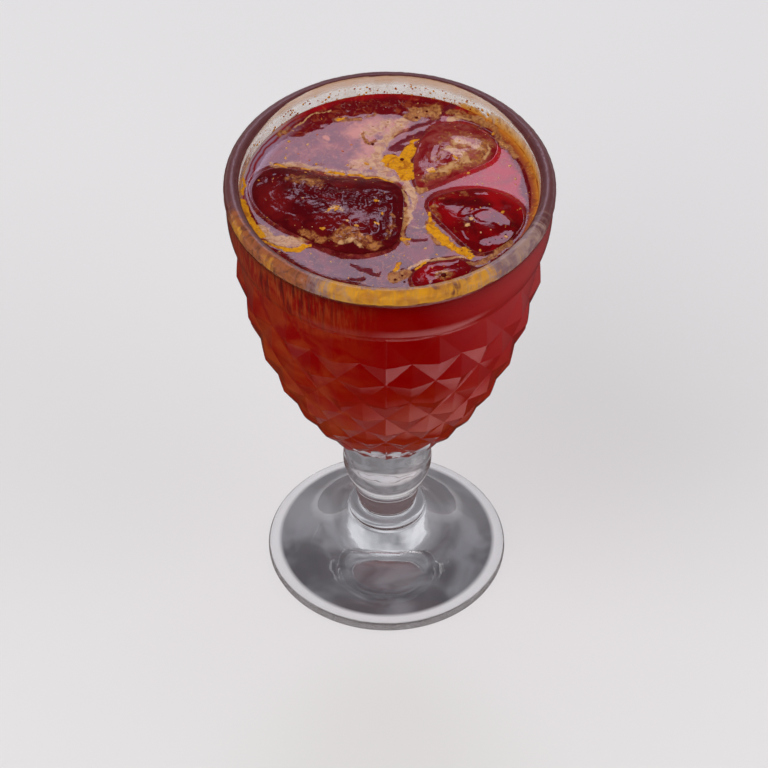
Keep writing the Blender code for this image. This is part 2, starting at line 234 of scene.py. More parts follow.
# Clouds and bare spots on the ice, as strokes of the same kind
ICE_STROKES = {
    "ice_left": {
        "tan": (
            (2.1, 0.7, 0.7, -25.4, 5.6, -21.5, 4.2, -18.6, 3.2),
            (1.3, 0.6, 0.8, -22.4, -14.6, -19.4, -16.2, -16.6, -18.2),
            (2.2, 0.7, 0.9, -14.2, -17.6, -10.6, -15, -7.2, -17, -4.6, -19.4),
            (1, 0.7, 0.7, 0.6, -8.2, 0.8, -12.4, -0.4, -16.6),
        ),
        "cream": (
            (0.9, 0.7, 0.8, -12.6, -18.6, -9.8, -17.4, -7.6, -19.6),
            (0.6, 0.7, 0.7, -16.6, -8.2, -14.8, -6.6, -12.4, -7.6), (0.7, 0.6, 0.6, -22.6, 5, -20.4, 3.6),
        ),
        "yellow": (
            (0.35, 0.5, 1, -17.7, -13.6, -17.2, -14.2), (0.4, 0.5, 1, -3.9, -3.3, -3.2, -3.5),
            (0.35, 0.5, 0.9, -16, -7, -13.2, -6.4), (0.35, 0.5, 0.9, -4.2, -11.2, -3.4, -11.6),
        ),
        "bright": (
            (3.6, 0.8, 0.6, -32, 1, -30, -4.6), (3, 0.8, 0.4, -16, -12, -8, -11),
        ),
    },
    "ice_upper_right": {
        "tan": (
            (2.2, 0.9, 0.6, 14.6, 23, 19.6, 23.6, 23.8, 21.4),
            (1.8, 0.9, 0.9, 24.8, 19.6, 24.2, 15.8, 20.8, 12.8),
            (2, 0.6, 1, 9.8, 6.8, 13.8, 9.2, 17.4, 11.4), (1.4, 0.9, 0.7, 12.2, 13.4, 15, 15.6),
            (3.6, 1, 0.55, 14.6, 18, 20, 17.6),
        ),
        "cream": (
            (0.5, 1, 0.8, 25.4, 20, 26.2, 17.4, 24.8, 14.8), (0.9, 1, 0.7, 22.4, 13.6, 19.6, 11.8),
            (1.8, 1, 0.9, 16.6, 17.6, 19, 16.4, 20, 13.6), (1.5, 1, 0.8, 18.4, 20.4, 20.6, 19.4, 22.6, 18),
            (1.2, 1, 0.8, 12.4, 8.8, 14.6, 10.6, 17.6, 12.4),
        ),
        "yellow": (
            (0.6, 0.5, 1, 10.6, 9.4, 11.6, 10), (0.35, 0.5, 1, 16.6, 14.2, 17, 13.8),
        ),
        "bright": ((3, 0.8, 0.6, 19, 20, 22, 15),),
    },
    "ice_right": {
        "tan": (
            (1.2, 0.9, 0.7, 11.4, -3.6, 12.8, -8), (1.1, 1, 0.55, 13, -1.2, 17, 0.6, 21, 0.9),
            (1.4, 1, 0.35, 19.6, -9.6, 19, -14),
        ),
        "cream": (
            (0.5, 0.6, 0.8, 20, -11.8, 20.9, -12.2), (0.35, 0.6, 0.8, 21.2, -9.6, 21.8, -9.8),
        ),
        "yellow": ((0.3, 0.5, 1, 29.5, -7, 29.9, -7.3),),
        "bright": (
            (3, 0.8, 0.9, 28, -0.4, 32, -3.4, 33, -8), (2.5, 0.8, 0.5, 15, -3, 16.4, -8.4),
        ),
        "shade": (
            (2.2, 1, 0.8, 15, -2.4, 20, -3.2, 25.6, -4), (1.8, 1, 0.7, 30, -3.6, 32.6, -7.4, 33.4, -10.8),
            (2.2, 1, 0.6, 20.6, -9.4, 22.6, -14.6, 23.4, -18.6),
        ),
    },
    "ice_front": {
        "tan": ((1.8, 0.6, 0.9, 13.6, -30.6, 15, -30.2),),
        "cream": ((0.6, 0.7, 0.7, 13, -30, 14.6, -29.4),),
        "bright": ((1.6, 0.8, 0.6, 9, -31.6, 10, -28.4),),
    },
}

# Calm level places on the ice, as strokes of the same kind
ICE_FLATS = {
    "ice_left": (
        (0.5, 0.5, 1, -16.2, 2.8, -18.6, -1, -21, -4.4), (0.4, 0.5, 1, -26.7, 0.8, -24, 0.2, -21.6, -0.9),
        (0.6, 0.7, 1, -15.6, -1, -14, -3.2), (0.7, 0.7, 1, -10.6, 0.4, -8.4, -1.8),
        (1.3, 0.4, 1, -2.2, -0.6, 0.2, -1.9), (0.4, 0.5, 1, 0.2, -9.4, 0, -12.2),
        (0.4, 0.5, 1, -27.4, -7.6, -24.4, -8.6), (0.4, 0.5, 1, -14.6, -12.4, -15.2, -15.6),
    ),
    "ice_upper_right": (
        (0.9, 0.4, 1, 12.2, 19.2, 11.8, 13.4), (2.2, 0.6, 0.8, 18, 21.6, 22.6, 20.4),
        (1.2, 0.6, 0.7, 15.4, 16, 18.6, 14.8),
    ),
    "ice_right": (
        (2.5, 0.3, 1, 24.6, -7.6, 27.6, -8.6, 30.2, -11),
        (1.9, 0.3, 1, 25.4, -17.6, 28.8, -16.4, 31, -14.6), (0.9, 0.4, 1, 19.4, -7.2, 20.8, -6.4),
        (0.6, 0.4, 1, 22.8, -5.9, 23.4, -6.4), (0.5, 0.5, 1, 22.4, 0.4, 25.8, 0.6),
        (0.4, 0.5, 1, 19.4, -13.4, 20.4, -17),
    ),
    "ice_front": (
        (0.5, 0.4, 1, 9.6, -28.4, 11.4, -26.7, 14.4, -25.8, 17.4, -25.6),
        (1.1, 0.4, 1, 10.6, -33.2, 11.6, -30.6), (0.7, 0.5, 1, 16.8, -32.2, 18, -31.4),
    ),
}

# Places where the ice is crinkled, as strokes of the same kind; elsewhere it is nearly smooth
ICE_CRINKLED = {
    "ice_left": (
        (3.6, 0.5, 1, -23, 1.6, -15, -1.6, -8, -3, -1.6, -3.6), (3.4, 0.6, 0.8, -13, -13.6, -5, -14.6),
        (1.6, 0.6, 0.7, -30.6, 5.6, -26, 6.2),
    ),
    "ice_upper_right": ((2.6, 0.8, 0.8, 14, 12, 22, 13.6),),
    "ice_right": ((2, 0.6, 1, 12.6, -3.6, 19.6, -7),),
    "ice_front": ((2, 0.6, 1, 12, -29, 16, -29),),
}
CRINKLE_ELSEWHERE = 0.15

# Stains on the wall over the drink: middle and half width in degrees round the bowl, softness in
# degrees, lowest and highest part of the wall's height, and strength
WALL_STAINS = {
    "golden": (
        (3, 33, 8, -0.5, 1.5, 1), (-58, 22, 14, -0.2, 0.7, 0.8), (-92, 16, 12, -0.2, 0.5, 0.9),
        (60, 18, 12, -0.2, 0.6, 0.7), (86, 14, 10, 0.25, 0.8, 0.6),
    ),
    "amber": (
        (104, 34, 12, -0.3, 1.05, 1), (142, 12, 12, -0.3, 0.6, 0.9), (-40, 16, 14, -0.3, 1.2, 0.7),
        (-120, 30, 20, -0.3, 0.22, 0.5),
    ),
    "red": (
        (180, 70, 30, -0.3, 0.14, 1), (112, 30, 16, -0.3, 0.3, 0.8), (-130, 34, 24, -0.3, 0.24, 0.8),
    ),
}

# Stains over the lip: middle and half width in degrees round the bowl, softness in degrees, where they
# start and are full as shares of the way over the lip, and strength
LIP_STAINS = {
    "lip_gold": (
        (4, 17, 5, 0.3, 0.52, 1), (8, 34, 9, -0.2, 0.1, 0.62), (-46, 3, 4, 0.45, 0.6, 0.55),
        (-66, 5, 5, 0.45, 0.6, 0.6),
    ),
    "lip_rust": (
        (-50, 24, 12, 0.2, 0.45, 1), (-22, 12, 8, 0.55, 0.7, 0.8),
    ),
    "lip_beige": (
        (47, 20, 12, 0.1, 0.3, 1), (-20, 9, 6, 0.16, 0.3, 0.9),
    ),
}
LIP_THICKNESS = 0.0039
CRISP_ANGLE = math.radians(6)

# The drink's surface: how far painted edges are pushed and how finely they curl, waves, foam, ripples
PAINT_PUSH = 0.0007
PAINT_CURL = 0.0030
WAVE_SIZE = 0.0085
FOAM_LIFT = 0.00004
FOAM_LUMPS = 0.00004
FOAM_LUMP_SIZE = 0.0011
RIPPLE_DEPTH = 0.00006

# How rough each piece of ice is: depth and size of its hollows and of its crinkles
ICE_TEXTURE = {
    "ice_left": {"hollow": (0.00022, 0.0046), "crinkle": (0.0002, 0.0019), "seed": 31},
    "ice_upper_right": {"hollow": (0.00018, 0.006), "crinkle": (0.00008, 0.0024), "seed": 36},
    "ice_right": {"hollow": (0.00012, 0.0065), "crinkle": (0.00002, 0.003), "seed": 47},
    "ice_front": {"hollow": (0.0001, 0.006), "crinkle": (0.00002, 0.003), "seed": 53},
}

# Skin of stains on the wall over the drink
FILM_BOTTOM = 0.1338
FILM_WALL_ROWS = 20
FILM_LIP_ROWS = 34
FILM_COLUMNS = 720
FILM_GAP = 0.00005
FILM_THICKNESS = 0.00014
FILM_LUMP_SIZE = 0.0013
FILM_TUCK_START = 0.97
FILM_TUCK_DEPTH = 0.4 * FILM_GAP
STAIN_STRETCH = 0.35
STAIN_EDGE_SIZE = 0.0042
WALL_STAIN_RAGGED = 0.22
WALL_STAIN_ABOVE = 0.30
WALL_STAIN_BELOW = 0.20
LIP_STAIN_RAGGED = 0.10

# Coat on the lip, partly a wet film of drink and partly painted light: a painted dark tone and a painted
# lilac-grey highlight. In shares of the way over it: where it starts in front and at the back, and ends.
# A direction round the bowl has a middle, a half width and a softness in degrees
COAT_START = (0.06, 0.29)
COAT_START_RAGGED = 0.02
COAT_START_SOFT = 0.05
COAT_END = (1.0, 0.93)
COAT_END_RAGGED = 0.06
COAT_BACK_END = 0.62
COAT_BACK_SOFT = 0.06
LIP_BACK = (180.0, 48.0, 26.0)
# At the back, the coat's colours with their painted dark tone and highlight are moved over the lip by this
# share
LIP_BACK_SHIFT = 0.12
LIP_LINES = 11.0
LIP_LINE_SHIFT = 0.05
LINE_WAVES = 1.6
# Painted highlight along the lip's top: direction round the bowl, then its middle and half width as shares
# of the way over
LIP_PAINTED_HIGHLIGHT = (14.0, 52.0, 24.0)
HIGHLIGHT_MIDDLE = 0.30
HIGHLIGHT_HALF = 0.10

# Band along the wall at the back, the amber at the brim, and a painted lilac reflection at the left brim:
# middle, half width and softness in degrees
BACK_BAND = (-168.0, 37.0, 6.0)
BACK_BAND_WIDTH = 0.0068
BACK_BAND_RAGGED = 0.00055
BACK_BAND_CURL = 0.0036
BACK_BAND_SLOPE = 0.070
BACK_BAND_CLIMB = 0.0026
AMBER_BRIM = (104.0, 40.0, 14.0)
LILAC_REFLECTION_BRIM = (-112.0, 22.0, 12.0)

# Small things strewn about: how many are tried, their half sizes, and how likely they are anywhere, in
# foam, in patches and at the right-hand wall
SEED = 2026
BALL_RINGS = 3
BALL_SIDES = 6
NORMAL_STEP = 0.00012
DRINK_RADIUS = 0.0372
PULP_TRIED = 1000
PULP_RADIUS = 0.00020
PULP_PATCH_SIZE = 0.006
PULP_WALL = (0.030, 0.038)
PULP_RIGHT = (0.0, 0.02)
PULP_CHANCES = (0.08, 0.40, 0.35, 0.2)
PULP_FLATNESS = 0.45
DROPLETS_TRIED = 330
DROPLET_LOWEST = 0.1352
DROPLET_HIGHEST = 0.1386
DROPLET_RADIUS = 0.00024
DROPLET_SPREAD = 1.05
DROPLET_SINKING = 1.25
DROPLET_FRONT_LIMIT = 0.55
DROPLET_FLATNESS = 0.5
BUBBLES_TRIED = 1500
BUBBLE_RADIUS = 0.00022
BUBBLE_CHANCE = 0.5
BUBBLE_FLATNESS = 0.55

# Single flecks of pulp: x, y and half size in millimetres, and shade
FLECKS = (
    (-21.9, 20.4, 0.36, 0.6), (-27.7, 15, 0.36, 0.5), (-19.5, 12.8, 0.4, 0.3), (-27.5, 18.8, 0.28, 0.6),
    (-26.9, 21.4, 0.42, 0.4), (-19.4, 24.2, 0.28, 1), (-24.3, 16.7, 0.22, 1), (-21.3, 14.2, 0.28, 1),
    (-12.6, 17.9, 0.26, 1), (-11.2, 12.4, 0.3, 0.3), (-6.2, 13, 0.5, 0.2), (-5, 11.2, 0.34, 0.1),
    (31.8, 12.5, 0.42, 0.6), (33.2, 7.5, 0.36, 0.6), (23.1, 5.4, 0.26, 0.6), (24.5, 5.6, 0.26, 0.6),
    (28.8, 7.9, 0.2, 0.6), (27.5, 24.6, 0.48, 0.1), (20.8, 9.6, 0.42, 0.3), (-20.4, -21.6, 0.28, 0.6),
    (-28.6, -21, 0.3, 0.5), (-15.2, -24.5, 0.24, 0.6), (-0.8, -22, 0.26, 0.6), (-3.6, -3.3, 0.55, 0),
    (-17.2, -13.7, 0.48, 0.1), (-13.9, -7.1, 0.55, 0.1), (-15.9, -7.5, 0.42, 0.2), (-8.6, -12.9, 0.45, 0.3),
    (-1.9, -7.9, 0.42, 0.1), (-11, -11.2, 0.45, 0.6), (-22.8, -2.6, 0.24, 0.6), (9.4, -19.3, 0.4, 0.6),
    (12.4, -21.6, 0.34, 0.5), (2.7, -25.2, 0.6, 0.1), (3.9, -22, 0.24, 0.5), (1, -22.3, 0.24, 0.5),
    (8.7, 0.4, 0.26, 0.5), (29.6, -7.1, 0.46, 0.2), (21.4, -9.5, 0.6, 0.6), (20.4, -11.6, 0.6, 0.6),
    (23.7, -20.4, 0.36, 0.2), (30.5, -15.6, 0.44, 0.6), (-34.6, 5.6, 0.3, 0.1),
)

# Single large bubbles: x, y and half size in millimetres
BUBBLES = (
    (1.6, -31.2, 0.42), (3.4, -29.7, 0.4), (4, -32, 0.38), (3.2, 14.7, 0.62), (7, 31.2, 0.5),
    (9.8, 33.4, 0.42), (-4.6, 20.6, 0.5), (14.2, -30.4, 0.8), (25.3, -18.4, 0.2), (26.2, -17.7, 0.24),
    (27, -18.4, 0.16), (27.7, -16.6, 0.2), (29.4, -16.2, 0.24), (30.4, -14.8, 0.26), (28.4, -15.2, 0.16),
)

# Larger drops on the wall: degrees round the bowl, height, half size and shade
WALL_DROPS = (
    (141.6, 0.1372, 0.00048, 0.66), (138.6, 0.1368, 0.00055, 0.66), (133.6, 0.1372, 0.0005, 0.66),
    (146.4, 0.1366, 0.00034, 0.7), (129, 0.1374, 0.00036, 0.66), (-155.4, 0.1369, 0.00046, 0.6),
    (-166, 0.1377, 0.0003, 0.1), (-147, 0.137, 0.0003, 0.05), (-137.6, 0.1366, 0.00036, 0.15),
    (-116.6, 0.1362, 0.00046, 0.68), (-172, 0.1371, 0.00032, 0.1), (172, 0.1379, 0.0003, 0.66),
    (163, 0.1376, 0.00034, 0.66), (158, 0.1379, 0.00028, 0.6), (178, 0.137, 0.00032, 0.3),
)

# How much each stuff bends light, and the radius of the ring on which streaks are read
GLASS_IOR = 1.5
JUICE_IOR = 1.34
FILM_IOR = 1.42
STREAK_RING = 0.04

# Colours at shares of the way: up the amber stain, over the lip, and from the horizon up
AMBER_STOPS = (
    (0, (0.34, 0.055, 0.01)),
    (0.25, (0.84, 0.34, 0.025)),
    (0.55, (0.9, 0.54, 0.15)),
    (1, (0.86, 0.66, 0.48)),
)
# Over the lip: a painted dark tone for the dark that the glass shows, with a painted lilac-grey highlight
# at 0.4
COAT_AND_PAINTED_LIGHT_STOPS = (
    (0.06, (0.15, 0.03, 0.022)),
    (0.2, (0.105, 0.02, 0.02)),
    (0.28, (0.128, 0.044, 0.049)),
    (0.4, (0.192, 0.09, 0.102)),
    (0.5, (0.14, 0.046, 0.048)),
    (0.6, (0.1, 0.018, 0.02)),
    (0.78, (0.13, 0.024, 0.02)),
    (1, (0.16, 0.02, 0.014)),
)
SKY_STOPS = (
    (0, (2.2, 2.15, 2.2)),
    (0.16, (1.8, 1.75, 1.8)),
    (0.32, (0.5, 0.48, 0.52)),
    (1, (0.14, 0.14, 0.16)),
)


def smooth_curve(points, count, closed):
    """A Catmull-Rom curve through the points, read at evenly spaced parameters."""
    points = np.array(points, float)
    spans = len(points) if closed else len(points) - 1
    if closed:
        padded = np.vstack([points[-1:], points, points[:2]])
    else:
        first = 2 * points[:1] - points[1:2]
        last = 2 * points[-1:] - points[-2:-1]
        padded = np.vstack([first, points, last])
    place = np.linspace(0, spans, count, endpoint=not closed)
    span = np.minimum(place.astype(int), spans - 1)
    t = (place - span)[:, None]
    a, b, c, d = (padded[span + k] for k in range(4))
    return 0.5 * (
        2 * b + (c - a) * t + (2 * a - 5 * b + 4 * c - d) * t**2 + (3 * b - a - 3 * c + d) * t**3
    )


def lattice_number(cell, seed):
    """A repeatable number from -1 to 1 for each whole-number place, by multiplying and mixing bits."""
    primes = np.array((73856093, 19349663, 83492791), np.int64)[: cell.shape[-1]]
    mixed = (cell * primes).sum(axis=-1) + seed * 7919
    mixed = ((mixed ^ (mixed >> 13)) * 1274126177) & 0x7FFFFFFF
    mixed = mixed ^ (mixed >> 16)
    return (mixed & 0xFFFF) / 32767.5 - 1


def random_field(points, size, seed):
    """Smooth random values from -1 to 1 over cubes of that size: each corner's number is blended
    with the smooth step 3t^2 - 2t^3 along each axis."""
    place = points / size
    cell = np.floor(place).astype(np.int64)
    part = place - cell
    blend = part * part * (3 - 2 * part)
    total = np.zeros(points.shape[:-1])
    for corner in itertools.product((0, 1), repeat=points.shape[-1]):
        weight = np.prod(np.where(corner, blend, 1 - blend), axis=-1)
        total += weight * lattice_number(cell + np.array(corner), seed)
    return total


def fractal(points, size, seed, octaves=3):
    """Random fields of halving size and strength, added up."""
    return sum(random_field(points, size / 2**k, seed + k) / 2**k for k in range(octaves))


def smooth_step(low, high, value):
    part = np.clip((value - low) / (high - low), 0, 1)
    return part * part * (3 - 2 * part)


def keep_crisp(mesh, points, angle, lowest, highest):
    """Edges past the angle are sharp, but only between those two heights."""
    mesh.set_sharp_from_angle(angle=angle)
    sharp = np.zeros(len(mesh.edges), bool)
    mesh.attributes["sharp_edge"].data.foreach_get("value", sharp)
    ends = np.zeros(2 * len(mesh.edges), np.int32)
    mesh.edges.foreach_get("vertices", ends)
    height = points[ends.reshape(-1, 2), 2].mean(axis=1)
    sharp &= (height > lowest) & (height < highest)
    mesh.attributes["sharp_edge"].data.foreach_set("value", sharp)


def new_object(name, points, face_groups, materials, attributes=(), crisp=None):
    """A smooth-shaded mesh piece from arrays of points and of faces, riding on the goblet's body.
    Each group of faces takes the material of its turn, or else the last one."""
    points = np.asarray(points, np.float32).reshape(-1, 3)
    sizes = np.concatenate([np.full(len(faces), faces.shape[1]) for faces in face_groups])
    loops = np.concatenate([faces.ravel() for faces in face_groups])
    mesh = bpy.data.meshes.new(name)
    mesh.vertices.add(len(points))
    mesh.vertices.foreach_set("co", points.ravel())
    mesh.loops.add(len(loops))
    mesh.loops.foreach_set("vertex_index", loops.astype(np.int32))
    mesh.polygons.add(len(sizes))
    starts = np.concatenate([[0], np.cumsum(sizes)[:-1]])
    mesh.polygons.foreach_set("loop_start", starts.astype(np.int32))
    turns = [np.full(len(faces), min(k, len(materials) - 1)) for k, faces in enumerate(face_groups)]
    mesh.polygons.foreach_set("material_index", np.concatenate(turns).astype(np.int32))
    for material in materials:
        mesh.materials.append(material)
    mesh.update(calc_edges=True)
    if mesh.validate():
        raise RuntimeError(f"{name}: its faces don't make a sound mesh")
    mesh.shade_smooth()
    if crisp is not None:
        keep_crisp(mesh, points, *crisp)
    for title, values in dict(attributes).items():
        attribute = mesh.attributes.new(title, "FLOAT", "POINT")
        attribute.data.foreach_set("value", np.asarray(values, np.float32).ravel())
    piece = bpy.data.objects.new(name, mesh)
    bpy.context.scene.collection.objects.link(piece)
    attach(piece, "root")
    return piece


def tube_faces(rings, columns, first=0):
    """Quads between neighbouring rings of points, each ring closed on itself."""
    row, column = np.meshgrid(np.arange(rings - 1), np.arange(columns), indexing="ij")
    after = (column + 1) % columns
    low = first + row * columns
    return np.stack([low + column, low + after, low + columns + after, low + columns + column], axis=-1)


def fan(centre, ring, flip):
    """Triangles from one point to a closed ring of points."""
    after = np.roll(ring, -1)
    middle = np.full(len(ring), centre)
    return np.stack([middle, after, ring] if flip else [middle, ring, after], axis=1)


def end_fans(count, last):
    """Triangles from point 0 to the first ring, and from the last point to the last ring."""
    ring = np.arange(count)
    return [fan(0, 1 + ring, flip=True), fan(last, last - count + ring, flip=False)]


def polar(radius, height, angle):
    """Points at that radius, height and angle round the axis."""
    radius, height, angle = np.broadcast_arrays(radius, height, angle)
    return np.stack([radius * np.sin(angle), -radius * np.cos(angle), height], axis=-1)


# Shapes shared with the solids


def valley_radius(height):
    """The egg-shaped surface on which the diamonds' corners lie."""
    fall = (COLLAR_BOTTOM - height) / LATTICE_DEPTH
    return LATTICE_RADIUS * (1 - fall**LATTICE_BULGE) ** (1 / LATTICE_ROUNDNESS)


def inner_radius(height, lip):
    """The bowl's smooth inside: a straight flare at the collar over an egg-shaped cup."""
    rim_start = GOBLET_TOP.z - lip / 2
    flare = (height - COLLAR_BOTTOM) / (rim_start - COLLAR_BOTTOM)
    cone = INNER_WAIST_RADIUS + (GOBLET_TOP.x - lip - INNER_WAIST_RADIUS) * flare
    fall = np.clip((COLLAR_BOTTOM - height) / (COLLAR_BOTTOM - BOWL_FLOOR), 0, 1)
    cup = INNER_WAIST_RADIUS * np.sqrt(1 - fall**INNER_BULGE)
    return np.where(height >= COLLAR_BOTTOM, cone, cup)


def lattice_heights():
    """Heights of the diamonds' half rows, top down: they shrink with the bowl's radius."""
    heights = [COLLAR_BOTTOM]
    for _ in range(LATTICE_ROWS):
        height = heights[-1]
        travelled = 0.0
        wanted = ROW_HEIGHT
        while travelled < wanted:
            radius = valley_radius(height)
            height -= PROFILE_STEP
            below = valley_radius(height)
            travelled += math.hypot(PROFILE_STEP, radius - below)
            wanted = ROW_HEIGHT * (below / LATTICE_RADIUS) ** ROW_SHRINK
        heights.append(height)
    return np.array(heights)


def ice_outline(name, steps=ICE_OUTLINE_STEPS):
    return smooth_curve(ICE[name]["outline"][::-1], steps, closed=True)


def ice_centre(name):
    return ice_outline(name, ICE_CENTRE_STEPS).mean(axis=0)


def ice_share(name, x, y):
    """How far out each place is on a piece of ice: 0 at its middle, 1 at its outline."""
    centre = ice_centre(name)
    edge = ice_outline(name) - centre
    turn = np.arctan2(edge[:, 1], edge[:, 0])
    order = np.argsort(turn)
    reach = np.hypot(edge[:, 0], edge[:, 1])[order]
    ways = np.arctan2(y - centre[1], x - centre[0])
    limit = np.interp(ways, turn[order], reach, period=2 * math.pi)
    return np.hypot(x - centre[0], y - centre[1]) / limit


def ice_climb(name, share):
    """How far ice stands over the juice: a low peak in the middle, steeper at the edge."""
    peak = (1 - np.clip(share, 0, 1) ** ICE_PEAK_POWER) ** ICE_FALL_POWER
    return ICE_EDGE_LIFT + (ICE[name]["rise"] - ICE_EDGE_LIFT) * peak


def ice_height(name, x, y, share):
    """The top of a piece of ice, peaked and a little aslant. Each of its calm places is levelled to the
    height at that place's middle, so that it mirrors the window."""
    shape = ICE[name]
    centre = ice_centre(name)
    climb = ice_climb(name, share)
    for k, stroke in enumerate(ICE_FLATS[name]):
        level = ice_climb(name, ice_share(name, *stroke_points(stroke).mean(axis=0)))
        climb = climb + stroke_mask(x, y, (stroke,), 90 + k) * (level - climb)
    lean = shape["tilt"][0] * (x - centre[0]) + shape["tilt"][1] * (y - centre[1])
    return JUICE_LEVEL + climb + lean


# Goblet


def diamond_rise(column, row):
    """A diamond is one minus the sum of two triangle waves, one round the bowl and one down it, made
    positive, so tips and valleys follow each other. The first row keeps only whole diamonds."""
    across = 1 - np.abs(column % 2 - 1)
    down = np.abs(row % 2 - 1)
    wave = 1 - across - down
    return np.where(row < 1, np.clip(wave, 0, None), np.abs(wave))


def column_angle(columns):
    return 2 * math.pi * columns / COLUMNS + LATTICE_TURN


def lattice_rows():
    return np.linspace(LATTICE_ROWS, 0, LATTICE_ROWS * STEPS_PER_COLUMN + 1)


def lattice_grid(columns, settings):
    """Points of the diamonds, bottom up: the egg-shaped surface, lifted along its own normal."""
    rows = lattice_rows()
    height = np.interp(rows, np.arange(LATTICE_ROWS + 1), lattice_heights())
    radius = valley_radius(height)
    slope = (radius - valley_radius(height - SLOPE_STEP)) / SLOPE_STEP
    scale = settings.point_rise * radius * math.pi / DIAMONDS_ROUND / np.hypot(1, slope)
    row, column = np.meshgrid(rows, columns, indexing="ij")
    out = diamond_rise(column, row) * scale[:, None]
    angle = column_angle(columns)
    return polar(radius[:, None] + out, height[:, None] - out * slope[:, None], angle[None, :])


def lattice_diagonals(columns, faces):
    """The lattice's quads as triangles, split along the diamonds' valleys."""
    rows = lattice_rows()
    middle_row = np.floor((rows[:-1] + rows[1:]) / 2).astype(int)
    middle_column = np.floor(columns + 1e-6).astype(int)
    odd = (middle_row[:, None] + middle_column[None, :]) % 2 == 1
    a, b, c, d = (faces[..., k] for k in range(4))
    rising = np.stack([np.stack([a, b, c], -1), np.stack([a, c, d], -1)], axis=2)
    falling = np.stack([np.stack([a, b, d], -1), np.stack([b, c, d], -1)], axis=2)
    return np.where(odd[..., None, None], rising, falling).reshape(-1, 3)


def outline_below():
    """Radius and height from under the foot, over its round edge, up the stem to the bowl."""
    part = np.linspace(0.05, 1, RECESS_RINGS)
    recess = np.stack([REST_RING_INNER_RADIUS * part, RECESS_HEIGHT * (1 - part**2)], axis=1)
    half = FOOT_EDGE_HEIGHT / 2
    turn = np.linspace(-math.pi / 2, math.pi / 2, EDGE_RINGS)
    edge_middle = FOOT_RADIUS - half
    edge = np.stack([edge_middle + half * np.cos(turn), half + half * np.sin(turn)], axis=1)
    part = np.linspace(0, 1, FOOT_RINGS)[1:]
    climb = (FOOT_TOP_HEIGHT - FOOT_EDGE_HEIGHT) * part**FOOT_FALL
    top = np.stack(
        [edge_middle + (FOOT_TOP_RADIUS - edge_middle) * part, FOOT_EDGE_HEIGHT + climb], axis=1
    )
    stem = smooth_curve(STEM_OUTLINE, STEM_RINGS, closed=False)
    return np.vstack([recess, edge, top, stem])


def outline_above(lip):
    """Radius and height from the top of the diamonds, up the collar, over the lip, down the inside."""
    collar_top = GOBLET_TOP.z - LIP_DEPTH
    height = np.linspace(COLLAR_BOTTOM, collar_top, COLLAR_RINGS)[1:]
    fall = (collar_top - height) / (collar_top - COLLAR_BOTTOM)
    widest = GOBLET_TOP.x - LIP_STEP
    collar = np.stack([widest - (widest - LATTICE_RADIUS) * fall**COLLAR_CURVE, height], axis=1)
    turn = np.linspace(0, math.pi, BEAD_RINGS)
    middle = (GOBLET_TOP.x - lip / 2, GOBLET_TOP.z - lip / 2)
    step_middle = (GOBLET_TOP.x - LIP_STEP / 4, collar_top + LIP_STEP / 2)
    step_up = np.array([step_middle, (GOBLET_TOP.x, collar_top + LIP_STEP)])
    bead = np.stack([middle[0] + lip / 2 * np.cos(turn), middle[1] + lip / 2 * np.sin(turn)], axis=1)
    fall = np.sin(np.linspace(0, math.pi / 2, INSIDE_RINGS)[1:-1])
    height = BOWL_FLOOR + (middle[1] - BOWL_FLOOR) * (1 - fall)
    inside = np.stack([inner_radius(height, lip), height], axis=1)
    return np.vstack([collar, step_up, bead, inside])


def seam_lift(columns):
    """The mould's two seams: a ridge one cell wide, as high as settings say."""
    half = COLUMNS / 2
    near = np.min([np.abs((columns - c + half) % COLUMNS - half) for c in SEAM_COLUMNS], axis=0)
    return np.clip(1 - near / SEAM_STEPS[1], 0, 1)


def round_share(angle, middle, half, soft):
    """One within so many degrees of a direction round the glass, gone over a further soft stretch."""
    away = np.abs((np.degrees(angle) - middle + 180) % 360 - 180)
    return smooth_step(half + soft, half - soft, away)


def make_goblet(settings, material):
    """One closed skin: rings from under the foot, up the outside, over the lip and down the inside."""
    even = np.arange(COLUMNS * STEPS_PER_COLUMN) / STEPS_PER_COLUMN
    extra = [(c + side * step) % COLUMNS for c in SEAM_COLUMNS for side in (-1, 1) for step in SEAM_STEPS]
    columns = np.unique(np.concatenate([even, extra]).round(6))
    angle = column_angle(columns)
    below = outline_below()
    above = outline_above(settings.lip_thickness)
    lattice = lattice_grid(columns, settings)
    lower = polar(below[:, :1], below[:, 1:], angle[None, :])
    upper = polar(above[:, :1], above[:, 1:], angle[None, :])
    rings = np.concatenate([lower, lattice, upper])
    out = np.stack([np.sin(angle), -np.cos(angle), np.zeros_like(angle)], axis=1)
    seamed = np.zeros(len(rings))
    seamed[len(below) : len(below) + len(lattice)] = settings.seam_height
    rings = rings + seamed[:, None, None] * seam_lift(columns)[None, :, None] * out[None]
    count = len(columns)
    total = len(rings)
    faces = tube_faces(total, count, first=1)
    start = len(below)
    stop = start + len(lattice) - 1
    diamonds = lattice_diagonals(columns, faces[start:stop])
    plain = np.concatenate([faces[:start], faces[stop:]]).reshape(-1, 4)
    points = np.vstack([[(0, 0, RECESS_HEIGHT)], rings.reshape(-1, 3), [(0, 0, BOWL_FLOOR)]])
    crisp = (CRISP_ANGLE, lattice_heights()[-1] - SLOPE_STEP, COLLAR_BOTTOM + SLOPE_STEP)
    faces = [plain, diamonds, *end_fans(count, 1 + total * count)]
    goblet = new_object("goblet_glass", points, faces, [material], crisp=crisp)
    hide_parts("goblet")


# Juice


def disc_grid(cells):
    """A square grid pressed into a unit disc: each square ring becomes a circle."""
    side = np.linspace(-1, 1, cells + 1)
    a, b = np.meshgrid(side, side, indexing="xy")
    wide = np.abs(a) > np.abs(b)
    safe_a = np.where(a == 0, 1e-9, a)
    safe_b = np.where(b == 0, 1e-9, b)
    radius = np.where(wide, a, b)
    turn = np.where(wide, math.pi / 4 * b / safe_a, math.pi / 2 - math.pi / 4 * a / safe_b)
    return radius * np.cos(turn), radius * np.sin(turn)


